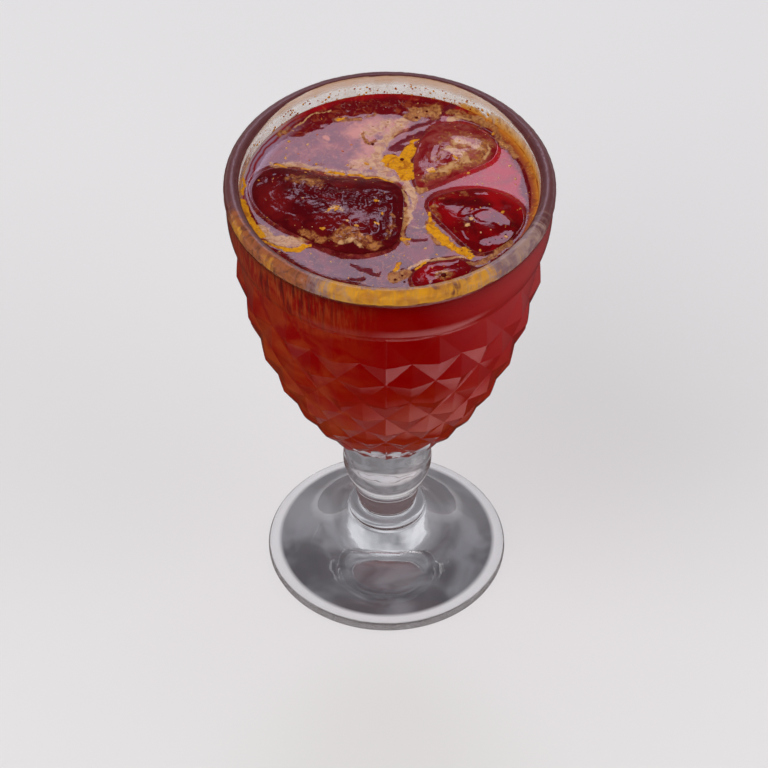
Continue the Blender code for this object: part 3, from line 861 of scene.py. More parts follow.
def line_distance(x, y, line):
    """Distance from each place to a line of straight stretches."""
    nearest = np.full(x.shape, np.inf)
    for (ax, ay), (bx, by) in zip(line[:-1], line[1:]):
        length = (bx - ax) ** 2 + (by - ay) ** 2
        along = np.clip(((x - ax) * (bx - ax) + (y - ay) * (by - ay)) / length, 0, 1)
        gap = np.hypot(x - ax - along * (bx - ax), y - ay - along * (by - ay))
        nearest = np.minimum(nearest, gap)
    return nearest


def stroke_points(stroke):
    return np.reshape(stroke[3:], (-1, 2)) * MILLIMETRE


def stroke_mask(x, y, strokes, seed):
    """How strongly each place is painted: full within a stroke's half width, and gone over a soft
    stretch outside it. The place is first pushed about by random fields, so that edges curl."""
    flat = np.stack([x, y], axis=-1)
    x = x + PAINT_PUSH * fractal(flat, PAINT_CURL, seed)
    y = y + PAINT_PUSH * fractal(flat, PAINT_CURL, seed + 50)
    mask = np.zeros(x.shape)
    for stroke in strokes:
        half_width, soft, strength = stroke[:3]
        points = stroke_points(stroke)
        line = smooth_curve(points, POINTS_PER_STRETCH * len(points), closed=False)
        gap = line_distance(x, y, line) / MILLIMETRE / half_width
        mask = np.maximum(mask, strength * smooth_step(1 + soft, 1 - soft, gap))
    return mask


def surface_masks(x, y):
    """How strongly each of the drink's colours is painted. Each has its own curled edges."""
    return {kind: stroke_mask(x, y, STROKES[kind], 11 + 7 * k) for k, kind in enumerate(STROKES)}


def back_band(x, y):
    """How far each place is into the band along the wall at the back, where the drink slopes."""
    share = round_share(np.arctan2(x, -y), *BACK_BAND)
    near_wall = float(inner_radius(JUICE_LEVEL, LIP_THICKNESS)) - np.hypot(x, y)
    ragged = BACK_BAND_RAGGED * fractal(np.stack([x, y], axis=-1), BACK_BAND_CURL, 61)
    return np.clip((BACK_BAND_WIDTH + ragged) * share - near_wall, 0, BACK_BAND_CLIMB)


def juice_height(x, y, settings, masks):
    """The drink's surface: drawn up the wall and the ice by an exponential meniscus, with slight
    waves, and lifted a little by foam."""
    edge = float(inner_radius(JUICE_LEVEL, LIP_THICKNESS))
    wall = np.exp(-np.clip(edge - np.hypot(x, y), 0, None) / settings.meniscus_width)
    height = JUICE_LEVEL + settings.meniscus_rise * wall
    for name in ICE:
        outline = ice_outline(name, ICE_MENISCUS_STEPS)
        gap = line_distance(x, y, np.vstack([outline, outline[:1]]))
        height += settings.ice_meniscus * np.exp(-gap / settings.ice_meniscus_width)
    flat = np.stack([x, y], axis=-1)
    calm = 1 - wall
    height += settings.wave_height * fractal(flat, WAVE_SIZE, 3, octaves=2) * calm
    foam = np.clip(masks["tan"] + masks["yellow"] + 0.4 * masks["cream"], 0, 1)
    height += foam * calm * (FOAM_LIFT + FOAM_LUMPS * fractal(flat, FOAM_LUMP_SIZE, 21, octaves=2))
    height -= masks["dark"] * calm * RIPPLE_DEPTH
    height += BACK_BAND_SLOPE * back_band(x, y)
    return height


def make_juice(settings, materials):
    """A square grid pressed into a disc makes the top; rings follow the bowl's inside down to its
    floor, all a little inside the glass."""
    edge_height = JUICE_LEVEL + settings.meniscus_rise
    edge_radius = float(inner_radius(edge_height, LIP_THICKNESS)) + INTO_WALL
    unit_x, unit_y = disc_grid(TOP_CELLS)
    x = (unit_x * edge_radius).ravel()
    y = (unit_y * edge_radius).ravel()
    masks = surface_masks(x, y)
    top = np.stack([x, y, juice_height(x, y, settings, masks)], axis=1)
    side = TOP_CELLS + 1
    number = np.arange(side * side).reshape(side, side)
    quads = np.stack([number[:-1, :-1], number[:-1, 1:], number[1:, 1:], number[1:, :-1]], axis=-1)
    border = np.concatenate([number[0, :-1], number[:-1, -1], number[-1, :0:-1], number[:0:-1, 0]])
    rim = top[border]
    angle = np.arctan2(rim[:, 0], -rim[:, 1])
    fall = np.sin(np.linspace(0, math.pi / 2, JUICE_SIDE_RINGS + 2)[1:-1])
    floor_height = BOWL_FLOOR - INTO_WALL
    height = floor_height + (edge_height - floor_height) * (1 - fall)
    radius = inner_radius(height + INTO_WALL, LIP_THICKNESS) + INTO_WALL
    rings = polar(radius[:, None], height[:, None], angle[None, :])
    first = len(top)
    count = len(border)
    side_numbers = np.vstack([border, first + np.arange(rings.shape[0] * count).reshape(-1, count)])
    after = np.roll(side_numbers, -1, axis=1)
    walls = np.stack([side_numbers[:-1], side_numbers[1:], after[1:], after[:-1]], axis=-1).reshape(-1, 4)
    last = first + rings.shape[0] * count
    base = fan(last, side_numbers[-1], flip=True)
    points = np.vstack([top, rings.reshape(-1, 3), [(0, 0, floor_height)]])
    blank = np.zeros(len(points) - len(top))
    near_wall = np.clip(edge_radius - np.hypot(x, y), 0, None)
    masks["brim"] = np.exp(-near_wall / settings.meniscus_width)
    around = np.arctan2(x, -y)
    masks["amber"] = round_share(around, *AMBER_BRIM) * smooth_step(0.28, 0.46, masks["brim"])
    # A painted lilac reflection on the drink at the left brim
    masks["painted_lilac_brim"] = round_share(around, *LILAC_REFLECTION_BRIM)
    masks["band"] = smooth_step(0, 0.0003, back_band(x, y))
    attributes = {kind: np.concatenate([mask, blank]) for kind, mask in masks.items()}
    faces = [quads.reshape(-1, 4), walls, base]
    juice = new_object("juice_drink", points, faces, materials, attributes)
    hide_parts("juice")


# Ice


def ice_dents(name, x, y, settings):
    """Melted dents on a piece of ice: broad random hollows, with ridged crinkles where it is rough."""
    flat = np.stack([x, y], axis=-1)
    (hollow, hollow_size), (crinkle, crinkle_size), seed = ICE_TEXTURE[name].values()
    broad = fractal(flat, hollow_size, seed, octaves=2) * hollow
    ridges = 1 - 2 * np.abs(fractal(flat, crinkle_size, seed + 9))
    patchy = np.maximum(stroke_mask(x, y, ICE_CRINKLED[name], seed + 17), CRINKLE_ELSEWHERE)
    return settings.roughness * (broad * (0.5 + 0.5 * patchy) + ridges * crinkle * patchy)


def make_ice(name, settings, material):
    """Rings shrinking from the outline to the middle make the top, and rings below it the sunk side."""
    outline = ice_outline(name)
    centre = ice_centre(name)
    shape = ICE[name]
    top_share = np.sin(np.linspace(math.pi / 2, 0, ICE_TOP_RINGS + 1))[:-1]
    side_turn = np.linspace(-math.pi / 2, 0, ICE_SIDE_RINGS + 2)[1:-1]
    side_share = np.cos(side_turn) ** ICE_EDGE_POWER
    share = np.concatenate([side_share, top_share])
    flat = centre + (outline - centre)[None] * share[:, None, None]
    x, y = flat[..., 0], flat[..., 1]
    height = ice_height(name, x, y, np.broadcast_to(share[:, None], x.shape))
    sunk = len(side_share)
    lean = ice_height(name, x, y, np.ones_like(x))[:sunk]
    height[:sunk] = lean - shape["depth"] * np.abs(np.sin(side_turn))[:, None] ** ICE_SIDE_POWER
    calm = smooth_step(1.0, 0.9, share[sunk:])[:, None]
    height[sunk:] += ice_dents(name, x[sunk:], y[sunk:], settings) * calm
    rings = np.concatenate([flat, height[..., None]], axis=-1)
    middle = np.array([centre[0]]), np.array([centre[1]])
    peak = float(ice_height(name, *middle, np.zeros(1))[0] + ice_dents(name, *middle, settings)[0])
    count = outline.shape[0]
    total = len(share)
    faces = tube_faces(total, count, first=1).reshape(-1, 4)
    points = np.vstack([[(*centre, JUICE_LEVEL - shape["depth"])], rings.reshape(-1, 3), [(*centre, peak)]])
    masks = {
        kind: stroke_mask(points[:, 0], points[:, 1], strokes, 70 + k)
        for k, (kind, strokes) in enumerate(ICE_STROKES[name].items())
    }
    caps = end_fans(count, 1 + total * count)
    piece = new_object(name + "_wet", points, [faces, *caps], [material], masks)
    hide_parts(name)


# Stains, droplets, pulp and bubbles


def film_outline(lip):
    """Radius and height up the wall, over the round lip and down to its step, with the way out of the
    glass at each, how far up the wall each is, and how far over the lip."""
    middle = np.array([GOBLET_TOP.x - lip / 2, GOBLET_TOP.z - lip / 2])
    height = np.linspace(FILM_BOTTOM, middle[1], FILM_WALL_ROWS, endpoint=False)
    wall = np.stack([inner_radius(height, lip), height], axis=1)
    drop = middle[1] - (GOBLET_TOP.z - LIP_DEPTH + LIP_STEP)
    length = math.pi * lip / 2
    along = np.linspace(0, length + drop, FILM_LIP_ROWS)
    turn = math.pi - np.minimum(along, length) / (lip / 2)
    out = np.stack([np.cos(turn), np.sin(turn)], axis=1)
    bead = middle + lip / 2 * out
    bead[:, 1] -= np.clip(along - length, 0, None)
    outline = np.vstack([wall, bead])
    ways = np.vstack([np.tile((-1.0, 0.0), (len(wall), 1)), out])
    up = np.concatenate([(height - FILM_BOTTOM) / (middle[1] - FILM_BOTTOM), np.ones(FILM_LIP_ROWS)])
    over = np.concatenate([np.zeros(len(wall)), along / along[-1]])
    return outline, ways, up, over


def make_wall_film(material):
    """A thin closed skin over the wall above the drink and over the lip: its rings go along the air
    side and come back just inside the glass. Its cover and colours are painted round the bowl."""
    angle = 2 * math.pi * np.arange(FILM_COLUMNS) / FILM_COLUMNS
    outline, ways, up, over = film_outline(LIP_THICKNESS)
    around = np.broadcast_to(angle, (len(outline), FILM_COLUMNS))
    up = np.broadcast_to(up[:, None], around.shape)
    over = np.broadcast_to(over[:, None], around.shape)
    radius, height = outline[:, :1], outline[:, 1:]
    place = polar(radius, STAIN_STRETCH * height, around)
    ragged = fractal(place, STAIN_EDGE_SIZE, 5)
    on_wall = over <= 0
    stains = {}
    for title, patches in WALL_STAINS.items():
        cover = np.zeros(around.shape)
        for middle, half, soft, low, high, strength in patches:
            across = round_share(around, middle, half, soft)
            edge = high + WALL_STAIN_RAGGED * ragged
            rise = smooth_step(edge + WALL_STAIN_ABOVE, edge - WALL_STAIN_BELOW, up) * (up > low)
            cover = np.maximum(cover, strength * across * rise)
        stains[title] = cover * on_wall
    for title, patches in LIP_STAINS.items():
        cover = np.zeros(around.shape)
        for middle, half, soft, first, full, strength in patches:
            reached = smooth_step(first, full, over + LIP_STAIN_RAGGED * ragged)
            cover = np.maximum(cover, strength * round_share(around, middle, half, soft) * reached)
        stains[title] = cover * (over > 0)
    behind = round_share(around, *LIP_BACK)
    bound = COAT_START[0] + (COAT_START[1] - COAT_START[0]) * behind + COAT_START_RAGGED * ragged
    ended = behind * smooth_step(0, COAT_BACK_SOFT, over - COAT_BACK_END)
    coat = smooth_step(bound, bound + COAT_START_SOFT, over) * (1 - ended)
    stains["lip"] = coat * smooth_step(*COAT_END, over + COAT_END_RAGGED * ragged)
    lines = np.stack([LIP_LINES * over, LINE_WAVES * np.sin(around), LINE_WAVES * np.cos(around)], axis=-1)
    stains["over"] = over - LIP_BACK_SHIFT * behind + LIP_LINE_SHIFT * fractal(lines, 1.0, 12)
    # A painted highlight along the top of the lip at the front
    from_highlight = np.abs(over - HIGHLIGHT_MIDDLE)
    stains["lip_painted_highlight"] = round_share(around, *LIP_PAINTED_HIGHLIGHT) * smooth_step(HIGHLIGHT_HALF, 0.0, from_highlight)
    body = np.clip(stains["golden"] + stains["amber"] + stains["red"] + stains["lip"], 0, 1)
    lumps = 0.6 + 0.4 * fractal(place, FILM_LUMP_SIZE, 8)
    tucked = smooth_step(1.0, FILM_TUCK_START, over)
    thick = (FILM_GAP + FILM_THICKNESS * body * lumps) * tucked - FILM_TUCK_DEPTH * (1 - tucked)
    way_out, way_up = ways[:, :1], ways[:, 1:]
    air = polar(radius + way_out * thick, height + way_up * thick, around)
    inside = polar(radius - way_out * FILM_GAP, height - way_up * FILM_GAP, around)
    rings = np.concatenate([air[::-1], inside])
    number = np.arange(len(rings) * FILM_COLUMNS).reshape(len(rings), FILM_COLUMNS)
    closed = np.vstack([number, number[:1]])
    after = np.roll(closed, -1, axis=1)
    faces = np.stack([closed[:-1], after[:-1], after[1:], closed[1:]], axis=-1).reshape(-1, 4)
    attributes = {title: np.concatenate([values[::-1], values]) for title, values in stains.items()}
    film = new_object("wall_film", rings.reshape(-1, 3), [faces], [material], attributes)


def small_ball():
    """A coarse ball of two dozen faces: three rings of six points between two poles."""
    turn = np.linspace(0, math.pi, BALL_RINGS + 2)[1:-1, None]
    angle = 2 * math.pi * np.arange(BALL_SIDES)[None, :] / BALL_SIDES
    axes = np.sin(turn) * np.cos(angle), np.sin(turn) * np.sin(angle), -np.cos(turn)
    rings = np.stack(np.broadcast_arrays(*axes), axis=-1).reshape(-1, 3)
    points = np.vstack([[(0, 0, -1)], rings, [(0, 0, 1)]])
    faces = tube_faces(BALL_RINGS, BALL_SIDES, first=1).reshape(-1, 4)
    return points, faces, np.vstack(end_fans(BALL_SIDES, 1 + len(rings)))


def strew(name, places, normals, sizes, shades, material, rng):
    """One mesh of many small balls: each is the coarse ball times its own three half sizes, turned so
    that its third axis lies along its own normal, and moved to its place."""
    ball, quads, caps = small_ball()
    count = len(places)
    spin = rng.normal(size=(count, 3))
    first = np.cross(normals, spin)
    first /= np.linalg.norm(first, axis=1, keepdims=True)
    second = np.cross(normals, first)
    axes = np.stack([first, second, normals], axis=1)
    points = places[:, None] + np.einsum("bk,nk,nkx->nbx", ball, sizes, axes)
    offset = (np.arange(count) * len(ball))[:, None, None]
    groups = [(quads[None] + offset).reshape(-1, 4), (caps[None] + offset).reshape(-1, 3)]
    piece = new_object(name, points, groups, [material], {"shade": np.repeat(shades, len(ball))})


def top_height(x, y, juice_settings, ice_settings):
    """The height of whatever is on top at a place: the drink or a piece of ice."""
    height = juice_height(x, y, juice_settings, surface_masks(x, y))
    for name in ICE:
        share = ice_share(name, x, y)
        dents = ice_dents(name, x, y, ice_settings) * smooth_step(1.0, 0.9, share)
        over = ice_height(name, x, y, share) + dents
        height = np.where(share < 1, np.maximum(height, over), height)
    return height


def on_the_drink(x, y, settings):
    """Places on top of the drink and the ice, with the surface's normal worked out by small steps."""
    height = top_height(x, y, *settings)
    slope_x = (top_height(x + NORMAL_STEP, y, *settings) - height) / NORMAL_STEP
    slope_y = (top_height(x, y + NORMAL_STEP, *settings) - height) / NORMAL_STEP
    normals = np.stack([-slope_x, -slope_y, np.ones_like(x)], axis=-1)
    normals /= np.linalg.norm(normals, axis=1, keepdims=True)
    return np.stack([x, y, height], axis=-1), normals


def scattered(rng, count):
    """Random places spread evenly over the drink, and how far from the middle each is."""
    radius = DRINK_RADIUS * np.sqrt(rng.random(count))
    angle = 2 * math.pi * rng.random(count)
    return radius * np.sin(angle), -radius * np.cos(angle), radius


def make_pulp(settings, material):
    """Specks of pulp lying on the drink and the ice, thickest near foam and the right-hand wall."""
    rng = np.random.default_rng(SEED)
    x, y, radius = scattered(rng, PULP_TRIED)
    masks = surface_masks(x, y)
    near_foam = np.clip(masks["cream"] + masks["tan"] + masks["yellow"], 0, 1)
    patchy = smooth_step(-0.2, 0.9, fractal(np.stack([x, y], axis=-1), PULP_PATCH_SIZE, 44))
    to_right = smooth_step(*PULP_WALL, radius) * smooth_step(*PULP_RIGHT, x)
    anywhere, in_foam, in_patches, at_right = PULP_CHANCES
    chance = anywhere + in_foam * near_foam + in_patches * patchy + at_right * to_right
    kept = rng.random(PULP_TRIED) < chance
    flecks = np.array(FLECKS)
    flecks[:, :3] *= MILLIMETRE
    x = np.concatenate([flecks[:, 0], x[kept]])
    y = np.concatenate([flecks[:, 1], y[kept]])
    places, normals = on_the_drink(x, y, settings)
    count = len(places)
    size = PULP_RADIUS * (0.45 + rng.random(count) ** 3)
    size[: len(flecks)] = flecks[:, 2]
    shades = rng.random(count)
    shades[: len(flecks)] = flecks[:, 3]
    sizes = np.stack([size * (1 + 0.8 * rng.random(count)), size, PULP_FLATNESS * size], axis=1)
    strew("pulp_specks", places, normals, sizes, shades, material, rng)


def make_droplets(material):
    """Droplets of drink left on the wall over it, mostly at the back."""
    rng = np.random.default_rng(SEED + 1)
    angle = math.pi + rng.normal(size=DROPLETS_TRIED) * DROPLET_SPREAD
    up = rng.random(DROPLETS_TRIED) ** DROPLET_SINKING
    kept = np.cos(angle) < DROPLET_FRONT_LIMIT
    large = np.array(WALL_DROPS)
    angle = np.concatenate([np.radians(large[:, 0]), angle[kept]])
    height = DROPLET_LOWEST + (DROPLET_HIGHEST - DROPLET_LOWEST) * up[kept]
    height = np.concatenate([large[:, 1], height])
    radius = inner_radius(height, LIP_THICKNESS)
    places = polar(radius, height, angle)
    normals = np.stack([-np.sin(angle), np.cos(angle), np.zeros_like(angle)], axis=1)
    count = len(places)
    size = DROPLET_RADIUS * (0.4 + rng.random(count) ** 2.5 * 1.1)
    size[: len(large)] = large[:, 2]
    sizes = np.stack([size, size * (0.8 + 0.5 * rng.random(count)), DROPLET_FLATNESS * size], axis=1)
    shades = rng.random(count)
    shades[: len(large)] = large[:, 3]
    strew("wall_droplets", places, normals, sizes, shades, material, rng)


def make_bubbles(settings, material):
    """Bubbles in the foam: large ones listed one by one, and small ones where the foam is thickest."""
    rng = np.random.default_rng(SEED + 2)
    x, y, _ = scattered(rng, BUBBLES_TRIED)
    masks = surface_masks(x, y)
    foam = np.clip(masks["tan"] + 0.6 * masks["yellow"] + 0.35 * masks["cream"], 0, 1)
    kept = rng.random(BUBBLES_TRIED) < BUBBLE_CHANCE * foam
    large = np.array(BUBBLES) * MILLIMETRE
    size = np.concatenate([large[:, 2], BUBBLE_RADIUS * (0.5 + rng.random(kept.sum()) ** 2)])
    x = np.concatenate([large[:, 0], x[kept]])
    y = np.concatenate([large[:, 1], y[kept]])
    places, normals = on_the_drink(x, y, settings)
    sizes = np.stack([size, size, BUBBLE_FLATNESS * size], axis=1)
    shades = np.concatenate([np.zeros(len(large)), 0.3 + 0.7 * rng.random(kept.sum())])
    strew("foam_bubbles", places, normals, sizes, shades, material, rng)


# Materials


class Nodes:
    """Short ways to add nodes to one tree and to join them."""

    def __init__(self, tree):
        self.tree = tree

    def put(self, socket, value):
        """Joins another node to this socket or sets its value. A colour may leave its alpha out."""
        if isinstance(value, bpy.types.NodeSocket):
            self.tree.links.new(value, socket)
        elif socket.type == "RGBA":
            socket.default_value = (*value, 1)[:4]
        else:
            socket.default_value = value

    def add(self, kind, inputs=None, **settings):
        node = self.tree.nodes.new("ShaderNode" + kind)
        for name, value in settings.items():
            setattr(node, name, value)
        for name, value in (inputs or {}).items():
            self.put(node.inputs[name], value)
        return node

    def maths(self, operation, *values):
        return self.add("Math", dict(enumerate(values)), operation=operation).outputs[0]

    def times(self, value, *others):
        for other in others:
            value = self.maths("MULTIPLY", value, other)
        return value

    def most(self, value, *others):
        for other in others:
            value = self.maths("MAXIMUM", value, other)
        return value

    def scaled(self, value, factor, start):
        """The value times a factor, added to a start."""
        return self.maths("MULTIPLY_ADD", value, factor, start)

    def layers(self, colour, *tints):
        """Tints over a colour, one after another, each as much as the product of its shares says."""
        for tint, *shares in tints:
            inputs = {0: self.times(*shares), 6: colour, 7: tint}
            colour = self.add("Mix", inputs, data_type="RGBA").outputs[2]
        return colour

    def vector(self, operation, *values):
        return self.add("VectorMath", dict(enumerate(values)), operation=operation).outputs

    def ramp(self, value, low, high):
        """Zero to one as the value goes from low to high."""
        return self.add("MapRange", {"Value": value, "From Min": low, "From Max": high}).outputs[0]

    def hill(self, value, one_side, other_side):
        """One between two stretches of the value, on each of which it falls away."""
        return self.times(self.ramp(value, *one_side), self.ramp(value, *other_side))

    def reach(self, value, low, high):
        """Low to high as the value goes from zero to one."""
        return self.add("MapRange", {"Value": value, "To Min": low, "To Max": high}).outputs[0]

    def attribute(self, name):
        return self.add("Attribute", attribute_name=name).outputs["Fac"]

    def place(self, kind="Object"):
        return self.add("TexCoord").outputs[kind]

    def axes(self, kind="Object"):
        return self.add("SeparateXYZ", {0: self.place(kind)}).outputs

    def colours(self, value, stops):
        """Colours blended along a value from 0 to 1."""
        ramp = self.add("ValToRGB", {"Fac": value})
        elements = ramp.color_ramp.elements
        while len(elements) < len(stops):
            elements.new(0.5)
        for element, (place, tint) in zip(elements, stops):
            element.position = place
            element.color = (*tint, 1)
        return ramp.outputs["Color"]

    def noise(self, place, given, **others):
        """Fractal noise at a place, as fine as the group's scale."""
        return self.add("TexNoise", {"Vector": place, "Scale": given["Scale"], **others}).outputs["Fac"]

    def cut(self, value, given):
        """Zero to one between the group's low and high, with soft ends."""
        inputs = {"Value": value, "From Min": given["Low"], "From Max": given["High"]}
        return self.add("MapRange", inputs, interpolation_type="SMOOTHSTEP").outputs[0]

    def effect(self, name, **values):
        """What a shared group of nodes puts out. The group is built the first time it is used."""
        tree = bpy.data.node_groups.get(name)
        if tree is None:
            tree = new_group(name, *GROUPS[name])
        return self.add("Group", values, node_tree=tree).outputs[0]

    def mottle(self, scale, low, high, **others):
        return self.effect("mottle", Scale=scale, Low=low, High=high, **others)

    def streak(self, scale, low, high, **others):
        return self.effect("streak", Scale=scale, Low=low, High=high, **others)

    def lace(self, painted, scale, spread, low=0.35, high=0.7):
        """Ragged edges for a painted amount or for the attribute of that name."""
        amount = self.attribute(painted) if isinstance(painted, str) else painted
        return self.effect("lace", Amount=amount, Scale=scale, Spread=spread, Low=low, High=high)

    def ripple(self, scale, strength, depth, **others):
        return self.effect("ripple", Scale=scale, Strength=strength, Depth=depth, **others)

    def shade(self, **values):
        """Sets or joins the shader's own inputs, which are named with underscores for spaces."""
        shader = self.tree.nodes["Principled BSDF"]
        for name, value in values.items():
            self.put(shader.inputs[name.replace("_", " ")], value)
        return shader.outputs[0]


def new_group(name, inputs, build, title="Mask", kind="NodeSocketFloat"):
    tree = bpy.data.node_groups.new(name, "ShaderNodeTree")
    for given, value in inputs.items():
        socket = tree.interface.new_socket(given, in_out="INPUT", socket_type="NodeSocketFloat")
        socket.default_value = value
    tree.interface.new_socket(title, in_out="OUTPUT", socket_type=kind)
    nodes = Nodes(tree)
    result = build(nodes, tree.nodes.new("NodeGroupInput").outputs)
    nodes.put(tree.nodes.new("NodeGroupOutput").inputs[0], result)
    return tree


def mottle_mask(nodes, given):
    """Cloudy patches: a fractal noise on the piece's own coordinates, cut between two levels. Upright
    below one stretches them up and down."""
    stretch = nodes.add("CombineXYZ", {"X": 1, "Y": 1, "Z": given["Upright"]}).outputs[0]
    place = nodes.vector("MULTIPLY", nodes.place(), stretch)[0]
    return nodes.cut(nodes.noise(place, given, Detail=given["Detail"], Distortion=given["Twist"]), given)


def streak_mask(nodes, given):
    """Streaks that run straight up the glass and over its lip: a fractal noise on the direction round
    the axis, with only a little change by height, cut between two levels."""
    flat = nodes.vector("MULTIPLY", nodes.place(), (1, 1, 0))[0]
    way = nodes.vector("NORMALIZE", flat)[0]
    ring = nodes.add("VectorMath", {0: way, "Scale": STREAK_RING}, operation="SCALE").outputs[0]
    rise = nodes.add("CombineXYZ", {"Z": nodes.times(nodes.axes()["Z"], given["Upright"])}).outputs[0]
    place = nodes.vector("ADD", ring, rise)[0]
    return nodes.cut(nodes.noise(place, given, Detail=given["Detail"]), given)


def lace_mask(nodes, given):
    """Ragged edges for a painted amount: a fractal noise is added to it before it is cut off."""
    noise = nodes.noise(nodes.place(), given, Detail=4, Distortion=0.8)
    spread = nodes.times(nodes.maths("SUBTRACT", noise, 0.5), given["Spread"])
    return nodes.cut(nodes.maths("ADD", given["Amount"], spread), given)


def ripple_normal(nodes, given):
    """Small bumps on a wet or pressed surface, as a normal."""
    height = nodes.noise(nodes.place(), given, Detail=given["Detail"])
    inputs = {"Height": height, "Strength": given["Strength"], "Distance": given["Depth"]}
    return nodes.add("Bump", inputs).outputs["Normal"]


# Shared groups: what goes in, with the usual values, how each is built, and what comes out
GROUPS = {
    "mottle": (
        {"Scale": 300, "Detail": 4, "Twist": 0.5, "Upright": 1, "Low": 0.4, "High": 0.6},
        mottle_mask,
    ),
    "streak": ({"Scale": 900, "Detail": 4, "Upright": 0.1, "Low": 0.4, "High": 0.6}, streak_mask),
    "lace": ({"Amount": 0, "Scale": 900, "Spread": 0.8, "Low": 0.35, "High": 0.7}, lace_mask),
    "ripple": (
        {"Scale": 200, "Detail": 2, "Strength": 0.5, "Depth": 0.0002},
        ripple_normal,
        "Normal",
        "NodeSocketVector",
    ),
}


def new_material(name):
    material = bpy.data.materials.new(name)
    material.use_nodes = True
    return material, Nodes(material.node_tree)


def glass_material(settings):
    """Clear pressed glass with a slight ripple. Lamps and diffuse light pass it unbent."""
    material, nodes = new_material("pressed glass")
    clouds = nodes.mottle(90, 0.35, 0.7, Detail=3)
    colour = nodes.layers(settings.glass_colour, ((0.93, 0.94, 0.955), clouds))
    bumps = nodes.ripple(110, 0.3, 0.0003)
    glass = nodes.shade(
        Base_Color=colour, IOR=GLASS_IOR, Transmission_Weight=1, Metallic=0, Roughness=0.012, Normal=bumps
    )
    path = nodes.add("LightPath").outputs
    passed = nodes.most(path["Is Shadow Ray"], path["Is Diffuse Ray"])
    clear = nodes.add("BsdfTransparent", {"Color": (0.96, 0.96, 0.97)}).outputs[0]
    mixed = nodes.add("MixShader", {0: passed, 1: glass, 2: clear}).outputs[0]
    nodes.put(nodes.tree.nodes["Material Output"].inputs["Surface"], mixed)
    return material


def juice_top_material(settings):
    """The drink's surface: deep red, painted brighter at the right as light coming through it, with clouds
    and foam over it, a painted lilac reflection at the left brim and a thin painted highlight on the band
    at the back.
    """
    material, nodes = new_material("juice surface")
    axes = nodes.axes()
    brim = nodes.attribute("brim")
    swell = nodes.mottle(150, 0.3, 0.7)
    shifted = nodes.scaled(swell, -0.14, brim)
    rusty = nodes.mottle(420, 0.5, 0.72, Detail=5, Twist=1)
    pinkish = nodes.mottle(700, 0.58, 0.74, Detail=5, Twist=1.4)
    curdled = nodes.mottle(560, 0.42, 0.66, Detail=5, Twist=1.2)
    grain = nodes.mottle(1000, 0.38, 0.66, Twist=0.8)
    browned = nodes.mottle(380, 0.54, 0.66, Twist=1)
    banded = nodes.layers(
        (0.145, 0.003, 0.006), ((0.28, 0.045, 0.016), rusty), ((0.28, 0.11, 0.09), pinkish)
    )
    crimson = nodes.layers(
        (0.34, 0.005, 0.01), ((0.16, 0.003, 0.006), swell), ((0.42, 0.055, 0.012), rusty, 0.6)
    )
    line = nodes.hill(shifted, (0.22, 0.27), (0.38, 0.31))
    outer = nodes.hill(shifted, (0.46, 0.52), (0.62, 0.56))
    # Painted lilac reflection at the left brim, paler towards the wall, crossed by two red lines
    painted_lilac_reflection = nodes.layers(
        (0.33, 0.19, 0.27),
        ((0.5, 0.34, 0.34), nodes.ramp(shifted, 0.6, 0.7)),
        ((0.24, 0.012, 0.014), nodes.most(line, outer)),
    )
    orange = nodes.layers(
        (0.3, 0.03, 0.012),
        ((0.62, 0.2, 0.014), nodes.ramp(brim, 0.35, 0.8)),
        ((0.24, 0.03, 0.008), rusty, 0.8),
        ((0.66, 0.34, 0.06), pinkish),
    )
    speckled = nodes.layers(
        settings.tan_colour,
        ((0.2, 0.04, 0.014), grain),
        ((0.58, 0.27, 0.09), curdled, 0.7),
        ((0.28, 0.06, 0.012), browned, 0.7),
    )
    golden = nodes.layers(
        settings.yellow_colour,
        ((0.36, 0.09, 0.002), grain, 0.45),
        ((0.38, 0.09, 0.003), browned, 0.75),
        ((0.82, 0.46, 0.04), nodes.mottle(1500, 0.62, 0.72, Detail=3)),
    )
    amber = nodes.lace("amber", 600, 0.7, 0.25, 0.6)
    dark = nodes.lace("dark", 800, 1.3, 0.3, 0.9)
    # Cream foam, with one thin stroke that is a painted highlight on the back band
    cream = nodes.lace("cream", 620, 1.4, 0.25, 0.95)
    tan = nodes.lace("tan", 600, 1.6, 0.3, 0.85)
    yellow = nodes.lace("yellow", 640, 1.5, 0.35, 0.72)
    colour = nodes.layers(
        settings.top_colour,
        (settings.front_colour, nodes.ramp(axes["Y"], 0.004, -0.012)),
        # Painted light: brighter at the right, as light coming through the drink
        (settings.right_colour, nodes.ramp(axes["X"], 0.008, 0.026), nodes.ramp(axes["Y"], -0.016, 0.004)),
        ((0.27, 0.03, 0.03), nodes.mottle(150, 0.42, 0.66, Detail=5, Twist=1.4), 0.6),
        ((0.42, 0.12, 0.045), nodes.mottle(700, 0.52, 0.7, Detail=5, Twist=1.6), 0.5),
        (banded, nodes.most(nodes.ramp(shifted, 0.05, 0.12), nodes.attribute("band"))),
        (crimson, nodes.ramp(shifted, 0.36, 0.56)),
        ((0.48, 0.08, 0.012), nodes.ramp(brim, 0.8, 0.95), swell),
        (painted_lilac_reflection, nodes.ramp(brim, 0.1, 0.24), nodes.attribute("painted_lilac_brim")),
        (orange, amber),
        ((0.15, 0.002, 0.01), dark),
        (settings.pink_colour, nodes.lace("pink", 420, 1.3, 0.15, 1.05)),
        (nodes.layers(settings.cream_colour, ((0.4, 0.15, 0.055), curdled)), cream),
        (speckled, tan),
        (golden, yellow),
    )
    matt = yellow
    for mask, share in ((tan, 0.6), (cream, 0.25), (dark, 0.7), (amber, 0.5)):
        matt = nodes.most(matt, nodes.times(mask, share))
    bumps = nodes.ripple(1500, 0.1, 0.0001, Detail=3)
    nodes.shade(Base_Color=colour, Roughness=nodes.reach(matt, 0.04, 0.85), IOR=JUICE_IOR, Normal=bumps)
    return material


